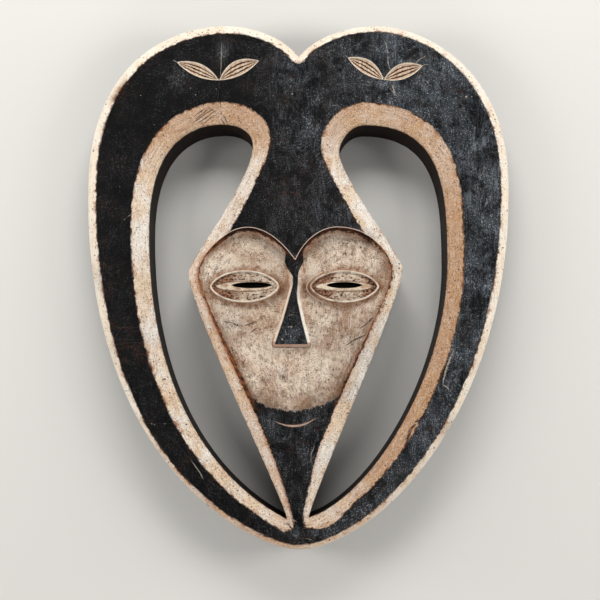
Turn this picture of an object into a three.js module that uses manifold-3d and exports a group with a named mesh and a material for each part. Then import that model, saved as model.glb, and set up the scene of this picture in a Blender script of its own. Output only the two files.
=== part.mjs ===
// A horned heart-shaped spirit mask, carved from one plank of light wood.
// Millimetres. The mask lies on its back: X to the right, Y toward the horns' tops,
// Z out of the face. The flat back is z = 0 and the origin is under the middle of the box.

import * as THREE from 'three';
import { mergeVertices } from 'three/addons/utils/BufferGeometryUtils.js';
import Module from 'manifold-3d';

const wasm = await Module();
wasm.setup();

// Driving sizes

const THICK = 50;          // plank thickness at the middle of the front
const HALF_W = 212.6;      // half of the overall width
const HALF_H = 263;        // half of the overall height
const CLEFT_Y = 229.6;     // bottom of the notch between the two horns
const CROWN_X = 0.10;      // the front falls by this share of its height at the sides
const CROWN_AT_X = 210;    // which is this far from the middle
const CROWN_Y = 0.04;      // and by this share at the top and bottom
const CROWN_AT_Y = 260;
const OUTER_DROP = 5;      // the outer edge's bevel falls this far
const BACK_EDGE = 3;       // small bevel round the back edge
const STEP = 8;            // length of one facet along an outline
const MITRE_LIMIT = 1.35;  // a corner moves out by at most this many times the distance
const ABOVE = 62;          // cutters run up to here, clear of the front
const BELOW = -2;          // and down to here, clear of the back

// The carved face
const BROW_FLOOR = 38;     // height of the face's floor under the brows
const CHEEK_FLOOR = 46.6;  // at the mouth
const CHIN_FLOOR = 48.8;   // at the tip of the chin
const FACE_TOP = 52;       // the brows' highest Y
const MOUTH_Y = -130;      // where the cheeks end and the black chin begins
const CHIN_Y = -236;       // tip of the chin
const SIDE_RISE = 5;       // the floor rises this much toward the temples
const TEMPLE_X = 95;       // distance of the temples from the middle
const FACE_X = -3;         // the face's own middle line, a little left of the plank's
const DISH_POWER = 1.25;   // above 1, the floor stays deep under the brows for longer
const WALL_FOOT = BROW_FLOOR - 2; // the recess's walls run on to here, under its floor

// Eyes
const EYE_HALF_L = 34;
const EYE_HALF_H = 15.8;
const EYE_Y = -7.2;
const EYE_RIM = 47.6;      // height of the lid's rim
const EYE_DISH = 46.0;     // the lid is dished inside the rim
const EYE_LIP = 47.8;      // and rises to the lips round the slit
const EYE_LEFT_X = -53.5;
const EYE_RIGHT_X = 45.5;
const RIM_WIDTH = 2.4;     // from the rim's top in to the deepest line of the dish
const LIP_WIDTH = 2.6;     // from the slit out to the lips' top
const EYE_FOOT = BROW_FLOOR - 4; // the lids' outer walls run on to here, under the face's floor
const ALMOND_POWER = 0.78; // 0.5 makes an ellipse, 1 two parabolas that meet in sharp points
const SLIT_HALF_H = 3.2;
const SLIT_Y = EYE_Y + 1;
const slits = [
  { x: -46.5, halfLength: 20.5 },
  { x: 45.5, halfLength: 18 },
];

// Back hollow
const HOLLOW_DEPTH = 31;
const HOLLOW_MIDDLE_Y = -35; // its walls close in toward this height
// Each row is a share of the hollow's outline and the height at which the wall has closed in so far.
const hollowRings = [
  [1, BELOW],
  [1, 1],
  [0.95, 0.5 * HOLLOW_DEPTH],
  [0.88, 0.8 * HOLLOW_DEPTH],
  [0.74, HOLLOW_DEPTH],
];

// Outlines.
// Each row is one cubic curve, given as x and y pairs for the right-hand side of the mask.
// w is the width of the painted bevel beside the curve at its start and end,
// and drop is how far that bevel falls.

const outerLeft = [
  { c: [0, CLEFT_Y, 10.2, 243.3, 34.6, HALF_H, 77.2, HALF_H], w: [9, 10] },
  { c: [77.2, HALF_H, 120.7, HALF_H, HALF_W, 235.6, HALF_W, 99.3], w: [10, 8] },
  { c: [HALF_W, 99.3, HALF_W, -183.6, 43.4, -HALF_H, 0, -HALF_H], w: [8, 5.5] },
];
const outerRight = [
  { c: [0, CLEFT_Y, 14, 247, 42, HALF_H, 82.3, HALF_H], w: [8, 8.5] },
  { c: [82.3, HALF_H, 122.4, HALF_H, HALF_W, 225.3, HALF_W, 102.7], w: [8.5, 9.5] },
  { c: [HALF_W, 102.7, HALF_W, -134.9, 72.3, -HALF_H, 0, -HALF_H], w: [9.5, 5.5] },
];
// Openings between horn and face: chin end, ring, top, lobe, neck, then down the jaw.
const openingLeft = [
  { c: [11.2, -234.3, 72.8, -203.7, 150.1, -121.5, 150.1, 54.1], w: [10, 18], drop: [5, 6] },
  { c: [150.1, 54.1, 150.1, 143.5, 105.9, 159, 76.9, 159], w: [18, 22], drop: [6, 6] },
  { c: [76.9, 159, 62, 159, 46.3, 152.3, 46.3, 136.3], w: [22, 20], drop: [6, 6] },
  { c: [46.3, 136.3, 46.3, 101.3, 109.7, 19.5, 109.7, 6.7], w: [20, 13], drop: [6, 4] },
  { c: [109.7, 6.7, 109.7, -26.6, 10.1, -222.3, 11.2, -234.3], w: [13, 5], drop: [4, 3] },
];
const openingRight = [
  { c: [10.2, -232.7, 72.1, -213.3, 149.2, -91.4, 149.2, 22.3], w: [10, 15], drop: [5, 6] },
  { c: [149.2, 22.3, 149.2, 82.2, 150.9, 158.4, 68, 158.4], w: [15, 22], drop: [6, 6] },
  { c: [68, 158.4, 50.6, 158.4, 41.1, 139.6, 41.1, 129.6], w: [22, 21], drop: [6, 6] },
  { c: [41.1, 129.6, 41.1, 106.2, 104.1, 20.3, 104.1, 11.4], w: [21, 14], drop: [6, 4] },
  { c: [104.1, 11.4, 104.1, -16.3, 12.7, -209.7, 10.2, -232.7], w: [14, 8], drop: [4, 3] },
];
// Edge of the carved face: from between the brows round each brow and down the jaw.
// Here w is how far the recess wall leans in on its way down.
const faceLeft = [
  { c: [3, 17, 12, 31, 30, 51, 51, 51], w: [3, 5] },
  { c: [51, 51, 72, 51, 99.4, 26, 99.4, 4], w: [5, 4] },
  { c: [99.4, 4, 99.7, -4.7, 95.5, -12.8, 91.9, -21.1], w: [4, 3] },
  { c: [91.9, -21.1, 62, -96, 26, -150, 3.6, CHIN_Y], w: [3, 0.2] },
];
const faceRight = [
  { c: [-3, 17, 2, 32, 18, 51.3, 39, 51.3], w: [3, 5] },
  { c: [39, 51.3, 72, 51, 90.4, 27.7, 92.8, 12.5], w: [5, 4] },
  { c: [92.8, 12.5, 94.5, 0.1, 88.9, -10.1, 85, -21.1], w: [4, 3] },
  { c: [85, -21.1, 54.6, -87.5, 14.8, -157, -1.6, CHIN_Y], w: [3, 0.2] },
];

// Walks along the curves of one side and returns points { x, y, w, drop }.
// The last point of the chain is left to the next chain.
function walk(rows, mirror) {
  const points = [];
  for (const { c, w = [0, 0], drop = [0, 0] } of rows) {
    const at = (i) => new THREE.Vector2(c[2 * i] * mirror, c[2 * i + 1]);
    const curve = new THREE.CubicBezierCurve(at(0), at(1), at(2), at(3));
    const count = Math.max(3, Math.round(curve.getLength() / STEP));
    for (let i = 0; i < count; i += 1) {
      const t = i / count;
      const p = curve.getPoint(t);
      points.push({
        x: p.x,
        y: p.y,
        w: THREE.MathUtils.lerp(w[0], w[1], t),
        drop: THREE.MathUtils.lerp(drop[0], drop[1], t),
      });
    }
  }
  return points;
}

// The end point of a chain, carrying its last width.
function endOf(rows, mirror) {
  const { c, w = [0, 0], drop = [0, 0] } = rows[rows.length - 1];
  return { x: c[6] * mirror, y: c[7], w: w[1], drop: drop[1] };
}

// A closed outline, anticlockwise, that goes down the left side and up the right side.
function bothSides(left, right) {
  const up = walk(right, 1);
  up.push(endOf(right, 1));
  up.reverse();
  up.pop();
  return [...walk(left, -1), ...up];
}

// Moves each point outward along its own normal (inward when the distance is negative).
// Sharp corners are mitred, but never by more than the limit.
function offset(points, distance, limit = MITRE_LIMIT) {
  const n = points.length;
  return points.map((p, i) => {
    const a = points[(i + n - 1) % n];
    const b = points[(i + 1) % n];
    const na = new THREE.Vector2(p.y - a.y, a.x - p.x).normalize();
    const nb = new THREE.Vector2(b.y - p.y, p.x - b.x).normalize();
    const m = na.clone().add(nb).normalize();
    const d = distance(p) * Math.min(limit, 1 / Math.max(0.2, m.dot(na)));
    return { ...p, x: p.x + m.x * d, y: p.y + m.y * d };
  });
}

const raise = (points, height) => points.map((p) => [p.x, p.y, height(p)]);

// Solids

// A closed solid through rings of equal length, each anticlockwise, from low to high.
function loft(rings) {
  const n = rings[0].length;
  const tris = [];
  for (let r = 0; r + 1 < rings.length; r += 1) {
    for (let i = 0; i < n; i += 1) {
      const j = (i + 1) % n;
      const a = r * n + i;
      const b = r * n + j;
      tris.push(a, b, b + n, a, b + n, a + n);
    }
  }
  const cap = (ring) => THREE.ShapeUtils.triangulateShape(
    ring.map(([x, y]) => new THREE.Vector2(x, y)), []);
  const top = (rings.length - 1) * n;
  for (const [a, b, c] of cap(rings[0])) tris.push(a, c, b);
  for (const [a, b, c] of cap(rings[rings.length - 1])) tris.push(top + a, top + b, top + c);
  const geometry = new THREE.BufferGeometry();
  geometry.setAttribute('position', new THREE.Float32BufferAttribute(rings.flat(2), 3));
  geometry.setIndex(tris);
  return solidOf(geometry);
}

function solidOf(geometry) {
  const merged = mergeVertices(geometry, 1e-5);
  return new wasm.Manifold(new wasm.Mesh({
    numProp: 3,
    vertProperties: new Float32Array(merged.attributes.position.array),
    triVerts: new Uint32Array(merged.index.array),
  }));
}

// The plank: a heart with a painted bevel round the front and a small one round the back.
const heart = bothSides(outerLeft, outerRight);
let mask = loft([
  raise(offset(heart, () => -BACK_EDGE), () => 0),
  raise(heart, () => BACK_EDGE),
  raise(heart, () => THICK - OUTER_DROP),
  raise(offset(heart, (p) => -p.w), () => THICK),
]);

// The two openings, with a wide bevel that falls toward the hole.
function openingCutter(rows, mirror) {
  let edge = walk(rows, mirror);
  if (mirror < 0) edge = edge.reverse();
  const bevel = offset(edge, (p) => p.w);
  return loft([
    raise(edge, () => BELOW),
    raise(edge, (p) => THICK - p.drop),
    raise(bevel, () => THICK),
    raise(bevel, () => ABOVE),
  ]);
}
mask = mask.subtract(openingCutter(openingLeft, -1));
mask = mask.subtract(openingCutter(openingRight, 1));

// Height of the face's floor: deep under the brows, shallow at the chin,
// and dished from side to side.
function faceFloor(x, y) {
  const { lerp, smoothstep } = THREE.MathUtils;
  const down = (FACE_TOP - y) / (FACE_TOP - MOUTH_Y);
  const cheek = lerp(BROW_FLOOR, CHEEK_FLOOR, THREE.MathUtils.clamp(down, 0, 1) ** DISH_POWER);
  const middle = y > MOUTH_Y ? cheek
    : lerp(CHEEK_FLOOR, CHIN_FLOOR, (MOUTH_Y - y) / (MOUTH_Y - CHIN_Y));
  const side = SIDE_RISE * ((x - FACE_X) / TEMPLE_X) ** 2 * smoothstep(y, MOUTH_Y, 0);
  return Math.min(middle + side, THICK - 1);
}

// Everything above the face's floor, as one solid whose underside is a fine grid.
function airAboveFace() {
  const columns = 16;
  const rows = 20;
  const [x0, x1] = [-112, 108]; // just past the temples
  const [y0, y1] = [CHIN_Y - 10, FACE_TOP + 12];
  const points = [];
  const tris = [];
  const grid = (top) => {
    for (let j = 0; j <= rows; j += 1) {
      for (let i = 0; i <= columns; i += 1) {
        const x = THREE.MathUtils.lerp(x0, x1, i / columns);
        const y = THREE.MathUtils.lerp(y0, y1, j / rows);
        points.push(x, y, top ? ABOVE : faceFloor(x, y));
      }
    }
  };
  grid(false);
  grid(true);
  const layer = (columns + 1) * (rows + 1);
  const id = (i, j) => j * (columns + 1) + i;
  const quad = (a, b, c, d) => tris.push(a, b, c, a, c, d);
  for (let j = 0; j < rows; j += 1) {
    for (let i = 0; i < columns; i += 1) {
      quad(id(i, j), id(i, j + 1), id(i + 1, j + 1), id(i + 1, j));
      quad(layer + id(i, j), layer + id(i + 1, j), layer + id(i + 1, j + 1), layer + id(i, j + 1));
    }
  }
  for (let i = 0; i < columns; i += 1) {
    quad(id(i, 0), id(i + 1, 0), layer + id(i + 1, 0), layer + id(i, 0));
    quad(id(i + 1, rows), id(i, rows), layer + id(i, rows), layer + id(i + 1, rows));
  }
  for (let j = 0; j < rows; j += 1) {
    quad(id(0, j + 1), id(0, j), layer + id(0, j), layer + id(0, j + 1));
    quad(id(columns, j), id(columns, j + 1), layer + id(columns, j + 1), layer + id(columns, j));
  }
  const geometry = new THREE.BufferGeometry();
  geometry.setAttribute('position', new THREE.Float32BufferAttribute(points, 3));
  geometry.setIndex(tris);
  return solidOf(geometry);
}

// The recess of the face: walls that lean in from the brow line to the floor.
const faceEdge = bothSides(faceLeft, faceRight);
const recess = loft([
  raise(offset(faceEdge, (p) => -p.w), () => WALL_FOOT),
  raise(faceEdge, () => THICK),
  raise(faceEdge, () => ABOVE),
]).intersect(airAboveFace());

// The nose: a flat ridge that starts between the brows and widens to its tip.
// Each row is y, then the ridge's left and right edge, and how far its sides run out.
const noseRows = [
  [26, -4.2, -1.6, 3],
  [9, -7, -1.4, 5],
  [-11, -7, -2.6, 8],
  [-41, -14.5, 2.2, 6.5],
  [-64.5, -22, 8.6, 4.5],
];
const NOSE_FOOT = 34;      // the nose's sides run down to here, under the face's floor
const NOSE_UNDER = 7;      // its underside leans out this far
const NOSE_SPREAD = (THICK - NOSE_FOOT) / 10; // the runs are given for a fall of 10 mm
function noseRing(run, z) {
  const left = noseRows.map(([y, a, , r]) => [a - r * run, y, z]);
  const right = noseRows.map(([y, , b, r]) => [b + r * run, y, z]).reverse();
  const last = noseRows.length - 1;
  left[last][1] -= NOSE_UNDER * run;
  right[0][1] -= NOSE_UNDER * run;
  return [...left, ...right];
}
const nose = loft([noseRing(NOSE_SPREAD, NOSE_FOOT), noseRing(0, THICK)]);

// An almond outline: two equal arcs that meet in points at left and right.
function almond(cx, cy, halfLength, halfHeight, sides = 32) {
  const points = [];
  for (let i = 0; i < sides; i += 1) {
    const a = (2 * Math.PI * i) / sides;
    const x = Math.cos(a);
    const y = Math.sign(Math.sin(a)) * (1 - x * x) ** ALMOND_POWER;
    points.push({ x: cx + halfLength * x, y: cy + halfHeight * y });
  }
  return points;
}

// An eye: a lid with a raised rim, dished inside, with lips round the slit.
function eyelid(cx) {
  const ring = (l, h, z) => raise(almond(cx, EYE_Y, l, h), () => z);
  return loft([
    ring(EYE_HALF_L + 3, EYE_HALF_H + 3, EYE_FOOT),
    ring(EYE_HALF_L, EYE_HALF_H, EYE_RIM),
    ring(EYE_HALF_L - RIM_WIDTH - 0.8, EYE_HALF_H - RIM_WIDTH, EYE_DISH),
    ring(EYE_HALF_L - 6, SLIT_HALF_H + LIP_WIDTH, EYE_LIP),
  ]);
}
const face = recess.subtract(nose)
  .subtract(eyelid(EYE_LEFT_X))
  .subtract(eyelid(EYE_RIGHT_X));
mask = mask.subtract(face);

// The hollow behind the face, a rounded shield scooped out of the back.
const hollowSide = [
  { c: [0, 50, 48, 50, 84, 32, 82, 0] },
  { c: [82, 0, 78, -40, 28, -130, 0, -176] },
];
const hollowEdge = bothSides(hollowSide, hollowSide);
const scoop = (share, z) => raise(hollowEdge.map((p) => ({
  x: FACE_X + share * p.x,
  y: HOLLOW_MIDDLE_Y + share * (p.y - HOLLOW_MIDDLE_Y),
})), () => z);
mask = mask.subtract(loft(hollowRings.map(([share, z]) => scoop(share, z))));

// The slits the wearer sees through.
for (const { x, halfLength } of slits) {
  const outline = almond(x, SLIT_Y, halfLength, SLIT_HALF_H, 20);
  mask = mask.subtract(loft([
    raise(outline, () => HOLLOW_DEPTH / 2),
    raise(outline, () => ABOVE),
  ]));
}

// A closed sliver between two points, bulging by up on one side and by down on the other.
// The middle of a cubic curve reaches three quarters of its handles' height.
function sliver(a, b, up, down) {
  const from = new THREE.Vector2(...a);
  const to = new THREE.Vector2(...b);
  const along = to.clone().sub(from);
  const across = new THREE.Vector2(-along.y, along.x).normalize();
  const side = (bulge) => {
    const handle = (t) => from.clone().addScaledVector(along, t)
      .addScaledVector(across, (bulge * 4) / 3);
    return new THREE.CubicBezierCurve(from, handle(0.3), handle(0.7), to).getPoints(8);
  };
  const low = side(-down);
  const high = side(up).reverse();
  return [...low.slice(0, -1), ...high.slice(0, -1)];
}

// Two pairs of carved leaves on the horns, each given by its left end, its right end
// and how far it bulges above and below the line between them.
const LEAF_DEPTH = 1.6;
const CUT_LEAN = 0.4;      // a cut's walls lean in by this share of its depth
const leaves = [
  { a: [-124.2, 223.2], b: [-80.8, 203.6], up: 8, down: 5.4 },
  { a: [-80.6, 203.6], b: [-40.2, 224.1], up: 10.6, down: 5.2 },
  { a: [49.9, 227.4], b: [86.4, 204.2], up: 9.6, down: 5.2 },
  { a: [86.8, 204.2], b: [126.4, 219.4], up: 9.6, down: 6.4 },
];
function engrave(outline, depth, surface) {
  return loft([
    raise(offset(outline, () => -CUT_LEAN * depth, 1), () => surface - depth),
    raise(outline, () => surface),
    raise(outline, () => ABOVE),
  ]);
}
for (const { a, b, up, down } of leaves) {
  mask = mask.subtract(engrave(sliver(a, b, up, down), LEAF_DEPTH, THICK));
}

// The mouth, a thin crescent cut into the chin. Both its edges bulge down.
const MOUTH_DEPTH = 1.8;
const mouth = sliver([-22, -140.4], [16.8, -137], -3, 6.6);
mask = mask.subtract(engrave(mouth, MOUTH_DEPTH, faceFloor(0, -142)));

// The crowned front
// The front is not flat: heights shrink toward the sides and the ends, and z = 0 stays flat.

function meshOf(manifold, name, material) {
  const { vertProperties, triVerts, numProp } = manifold.getMesh();
  const count = vertProperties.length / numProp;
  const position = new Float32Array(3 * count);
  for (let i = 0; i < count; i += 1) {
    const [x, y, z] = vertProperties.subarray(i * numProp, i * numProp + 3);
    const fall = CROWN_X * (x / CROWN_AT_X) ** 2 + CROWN_Y * (y / CROWN_AT_Y) ** 2;
    position.set([x, y, z * (1 - fall)], 3 * i);
  }
  const geometry = new THREE.BufferGeometry();
  geometry.setAttribute('position', new THREE.BufferAttribute(position, 3));
  geometry.setIndex(new THREE.BufferAttribute(new Uint32Array(triVerts), 1));
  geometry.computeVertexNormals();
  const mesh = new THREE.Mesh(geometry, material);
  mesh.name = name;
  return mesh;
}

const wood = new THREE.MeshStandardMaterial({ color: 0x2b2622, roughness: 0.6, metalness: 0 });

const group = new THREE.Group();
group.add(meshOf(mask, 'mask', wood));

export default group;
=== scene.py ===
# %% [markdown]
# # A carved and painted horned mask
#
# The real mask is one plank of light wood. The carver sawed out a heart, cut two long openings
# so that a pair of horns stands free of the face, hollowed the back for the wearer's face, and
# carved brows, eyes, nose and mouth into the front. Then it was stained black and painted white.
#
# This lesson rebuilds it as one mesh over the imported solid. Lengths are in millimetres until the
# last step, where they become Blender's metres.

# %% Load the solid and measure it
import math

import bmesh
import bpy
import numpy as np
from mathutils import Matrix, Vector, kdtree
from mathutils.geometry import delaunay_2d_cdt


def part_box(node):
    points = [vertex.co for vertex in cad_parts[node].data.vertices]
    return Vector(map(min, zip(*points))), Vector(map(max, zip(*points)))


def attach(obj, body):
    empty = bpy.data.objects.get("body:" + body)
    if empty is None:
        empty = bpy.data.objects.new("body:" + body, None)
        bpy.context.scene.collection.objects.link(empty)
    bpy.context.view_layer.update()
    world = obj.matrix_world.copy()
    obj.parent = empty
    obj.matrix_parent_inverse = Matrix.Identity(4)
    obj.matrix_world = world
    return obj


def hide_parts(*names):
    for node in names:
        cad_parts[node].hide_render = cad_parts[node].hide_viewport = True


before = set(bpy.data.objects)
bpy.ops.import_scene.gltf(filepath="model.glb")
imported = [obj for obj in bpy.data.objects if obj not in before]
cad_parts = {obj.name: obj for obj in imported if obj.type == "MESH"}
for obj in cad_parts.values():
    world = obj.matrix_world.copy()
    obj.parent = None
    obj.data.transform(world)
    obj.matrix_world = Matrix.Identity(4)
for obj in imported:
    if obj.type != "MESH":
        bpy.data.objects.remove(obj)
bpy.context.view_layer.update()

low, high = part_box("mask")
MM = 0.001
HALF_W = (high.x - low.x) / 2 / MM
HALF_H = (high.y - low.y) / 2 / MM
THICK = (high.z - low.z) / MM
print("solid:", round(2 * HALF_W, 1), "x", round(2 * HALF_H, 1), "x", round(THICK, 1), "mm")

# %% [markdown]
# ## The camera
#
# The photographer stood straight in front of the hanging mask and a little below its middle.
# Our mask lies on its back, so the same view looks down, tipped a few degrees toward the chin.
# A camera's matrix holds three directions and a place, so it can be written from them directly.

# %% Camera
ELEVATION = math.radians(83.7)
DISTANCE = 945.5
AIM = Vector((1.5, -21.0, 48.0))
LENS = 57.36
SENSOR_WIDTH = 36

back = Vector((0, -math.cos(ELEVATION), math.sin(ELEVATION)))
right = Vector((1, 0, 0))
up = back.cross(right)
camera_data = bpy.data.cameras.new("camera")
camera_data.lens = LENS
camera_data.sensor_width = SENSOR_WIDTH
camera = bpy.data.objects.new("camera", camera_data)
eye_point = (AIM + back * DISTANCE) * MM
camera.matrix_world = Matrix.Translation(eye_point) @ Matrix((right, up, back)).transposed().to_4x4()
bpy.context.scene.collection.objects.link(camera)
bpy.context.scene.camera = camera
print("camera at", [round(v, 3) for v in eye_point])

# %% [markdown]
# ## Outlines
#
# Every edge of the mask is a smooth cut, so each is a chain of cubic curves with few points.
# Each row holds the curve's four points, then the width of the painted bevel beside it and how
# far that bevel falls, both at the curve's start and at its end. The left-hand curves are written
# as if they lay on the right, and x is turned round later. The two halves differ as handwork does.

# %% The curves
CLEFT_Y = 229.6
OUTER_DROP = 5.0
CHIN_Y = -236.0

OUTER_LEFT = [
    ((0, CLEFT_Y, 10.2, 243.3, 34.6, HALF_H, 77.2, HALF_H), (9, 10), (0, 0)),
    ((77.2, HALF_H, 120.7, HALF_H, HALF_W, 235.6, HALF_W, 99.3), (10, 8), (0, 0)),
    ((HALF_W, 99.3, HALF_W, -183.6, 43.4, -HALF_H, 0, -HALF_H), (8, 5.5), (0, 0)),
]
OUTER_RIGHT = [
    ((0, CLEFT_Y, 14, 247, 42, HALF_H, 82.3, HALF_H), (8, 8.5), (0, 0)),
    ((82.3, HALF_H, 122.4, HALF_H, HALF_W, 225.3, HALF_W, 102.7), (8.5, 9.5), (0, 0)),
    ((HALF_W, 102.7, HALF_W, -134.9, 72.3, -HALF_H, 0, -HALF_H), (9.5, 5.5), (0, 0)),
]
OPENING_LEFT = [
    ((11.2, -234.3, 72.8, -203.7, 150.1, -121.5, 150.1, 54.1), (10, 18), (5, 6)),
    ((150.1, 54.1, 150.1, 143.5, 105.9, 159, 76.9, 159), (18, 22), (6, 6)),
    ((76.9, 159, 62, 159, 46.3, 152.3, 46.3, 136.3), (22, 20), (6, 6)),
    ((46.3, 136.3, 46.3, 101.3, 109.7, 19.5, 109.7, 6.7), (20, 13), (6, 4)),
    ((109.7, 6.7, 109.7, -26.6, 10.1, -222.3, 11.2, -234.3), (13, 5), (4, 3)),
]
OPENING_RIGHT = [
    ((10.2, -232.7, 72.1, -213.3, 149.2, -91.4, 149.2, 22.3), (10, 15), (5, 6)),
    ((149.2, 22.3, 149.2, 82.2, 150.9, 158.4, 68, 158.4), (15, 22), (6, 6)),
    ((68, 158.4, 50.6, 158.4, 41.1, 139.6, 41.1, 129.6), (22, 21), (6, 6)),
    ((41.1, 129.6, 41.1, 106.2, 104.1, 20.3, 104.1, 11.4), (21, 14), (6, 4)),
    ((104.1, 11.4, 104.1, -16.3, 12.7, -209.7, 10.2, -232.7), (14, 8), (4, 3)),
]
FACE_LEFT = [
    ((3, 17, 12, 31, 30, 51, 51, 51), (3, 5), (0, 0)),
    ((51, 51, 72, 51, 99.4, 26, 99.4, 4), (5, 4), (0, 0)),
    ((99.4, 4, 99.7, -4.7, 95.5, -12.8, 91.9, -21.1), (4, 3), (0, 0)),
    ((91.9, -21.1, 62, -96, 26, -150, 3.6, CHIN_Y), (3, 0.2), (0, 0)),
]
FACE_RIGHT = [
    ((-3, 17, 2, 32, 18, 51.3, 39, 51.3), (3, 5), (0, 0)),
    ((39, 51.3, 72, 51, 90.4, 27.7, 92.8, 12.5), (5, 4), (0, 0)),
    ((92.8, 12.5, 94.5, 0.1, 88.9, -10.1, 85, -21.1), (4, 3), (0, 0)),
    ((85, -21.1, 54.6, -87.5, 14.8, -157, -1.6, CHIN_Y), (3, 0.2), (0, 0)),
]
HOLLOW_SIDE = [
    ((0, 50, 48, 50, 84, 32, 82, 0), (0, 0), (0, 0)),
    ((82, 0, 78, -40, 28, -130, 0, -176), (0, 0), (0, 0)),
]
all_sides = (OUTER_LEFT, OUTER_RIGHT, OPENING_LEFT, OPENING_RIGHT, FACE_LEFT, FACE_RIGHT, HOLLOW_SIDE)
print("curves:", sum(len(rows) for rows in all_sides))

# %% [markdown]
# ### Points along the curves
#
# A saw moves on evenly, and so should the points, or the mesh would be fine in one place and
# coarse in the next. Each curve is first walked in a hundred small steps to measure it, and then
# divided into equal lengths.

# %% Walk along the curves
MEASURING_STEPS = 100
EDGE_STEP = 2.0
FACE_EDGE_STEP = 1.5
HOLLOW_STEP = 3.0


def walk(rows, mirror, step):
    """Evenly spaced points along one side: columns x, y, bevel width and bevel drop."""
    chain = []
    for curve, width, drop in rows:
        p = np.array(curve, float).reshape(4, 2) * (mirror, 1)
        t = np.linspace(0, 1, MEASURING_STEPS + 1)[:, None]
        s = 1 - t
        line = s ** 3 * p[0] + 3 * s ** 2 * t * p[1] + 3 * s * t * t * p[2] + t ** 3 * p[3]
        run = np.append(0, np.linalg.norm(np.diff(line, axis=0), axis=1).cumsum())
        count = max(3, round(run[-1] / step))
        at = np.interp(np.arange(count) * run[-1] / count, run, t[:, 0])
        columns = [np.interp(at, t[:, 0], line[:, k]) for k in (0, 1)]
        columns += [a + (b - a) * at for a, b in (width, drop)]
        chain.append(np.column_stack(columns))
    return np.vstack(chain)


def both_sides(left, right, step):
    """A closed outline, anticlockwise: down the left side and up the right side."""
    up_right = walk(right, 1, step)
    curve, width, drop = right[-1]
    lowest = [[*curve[6:8], width[1], drop[1]]]
    return np.vstack([walk(left, -1, step), lowest, up_right[:0:-1]])


heart = both_sides(OUTER_LEFT, OUTER_RIGHT, EDGE_STEP)
gap_left = walk(OPENING_LEFT, -1, EDGE_STEP)[::-1]
gap_right = walk(OPENING_RIGHT, 1, EDGE_STEP)
face_edge = both_sides(FACE_LEFT, FACE_RIGHT, FACE_EDGE_STEP)
hollow_edge = both_sides(HOLLOW_SIDE, HOLLOW_SIDE, HOLLOW_STEP)
print("outline points:", len(heart), len(gap_left), len(gap_right), len(face_edge))

# %% [markdown]
# ## How far is it to the edge?
#
# Carving and painting both follow the edges: a bevel is so wide, a white band is so wide, the
# stain creeps so far. So the main tool is a distance: for any point of the front, how far the
# nearest point of an outline is, and whether the point is inside. NumPy finds it for thousands
# of points at once.

# %% Distance to an outline
def finder(xy):
    """A search tree that finds the nearest of the given points."""
    found = kdtree.KDTree(len(xy))
    for k, (x, y) in enumerate(xy.tolist()):
        found.insert((x, y, 0), k)
    found.balance()
    return found


def to_outline(points, loop):
    """Distance to a closed loop, positive inside, with the bevel width and drop found there."""
    a = loop[:, :2]
    n = len(a)
    corners = finder(a)
    nearest = np.array([corners.find((x, y, 0))[1] for x, y in points.tolist()])
    tries = []
    for start in ((nearest - 1) % n, nearest):
        stop = (start + 1) % n
        ab = a[stop] - a[start]
        ap = points - a[start]
        t = np.clip((ap * ab).sum(1) / (ab ** 2).sum(1), 0, 1)
        away = np.hypot(*(ap - ab * t[:, None]).T)
        side = (ab[:, 0] * ap[:, 1] - ab[:, 1] * ap[:, 0]) / np.hypot(*ab.T)
        more = loop[start, 2:4] * (1 - t[:, None]) + loop[stop, 2:4] * t[:, None]
        tries.append((away, side, more))
    (away0, side0, more0), (away1, side1, more1) = tries
    level = np.abs(away0 - away1) < 1e-6
    first = np.where(level, np.abs(side0) > np.abs(side1), away0 < away1)
    distance = np.where(first, away0, away1) * np.sign(np.where(first, side0, side1))
    more = np.where(first[:, None], more0, more1)
    return distance, more[:, 0], more[:, 1]


middle_in = to_outline(np.zeros((1, 2)), heart)[0][0]
print("from the mask's middle to the heart's edge:", round(middle_in, 1), "mm")

# %% [markdown]
# ### An outline inside an outline
#
# A carver marks a bevel with a line that keeps its distance from the edge. The same is done here:
# every point moves across the edge, a little further at a corner, so that the line stays parallel.

# %% Move an outline in or out
SHARPEST = 0.2
MITRE_LIMIT = 1.35


def offset(loop, distance):
    """The loop moved outward by a distance, or inward by a negative one, with mitred corners."""
    p = loop[:, :2]
    outward = []
    for side in (p - np.roll(p, 1, axis=0), np.roll(p, -1, axis=0) - p):
        across = np.column_stack([side[:, 1], -side[:, 0]])
        outward.append(across / np.linalg.norm(side, axis=1)[:, None])
    middle = outward[0] + outward[1]
    middle /= np.linalg.norm(middle, axis=1)[:, None]
    mitre = np.minimum(MITRE_LIMIT, 1 / np.maximum(SHARPEST, (middle * outward[0]).sum(1)))
    moved = loop.copy()
    moved[:, :2] = p + middle * (distance * mitre)[:, None]
    return moved


between_bevels = np.ptp(offset(heart, -heart[:, 2])[:, 0])
print("width between the rim's bevels:", round(between_bevels, 1), "mm")

# %% [markdown]
# ## Small ups and downs
#
# A knife and an adze leave a surface that is never quite flat. A table of random numbers, blended
# smoothly from one to the next, gives heights that rise and fall like that; several sizes of it
# together look like hand work.

# %% Waves
TABLE = 256
RANDOM = np.random.default_rng(5).uniform(-1, 1, (TABLE, TABLE))


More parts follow.
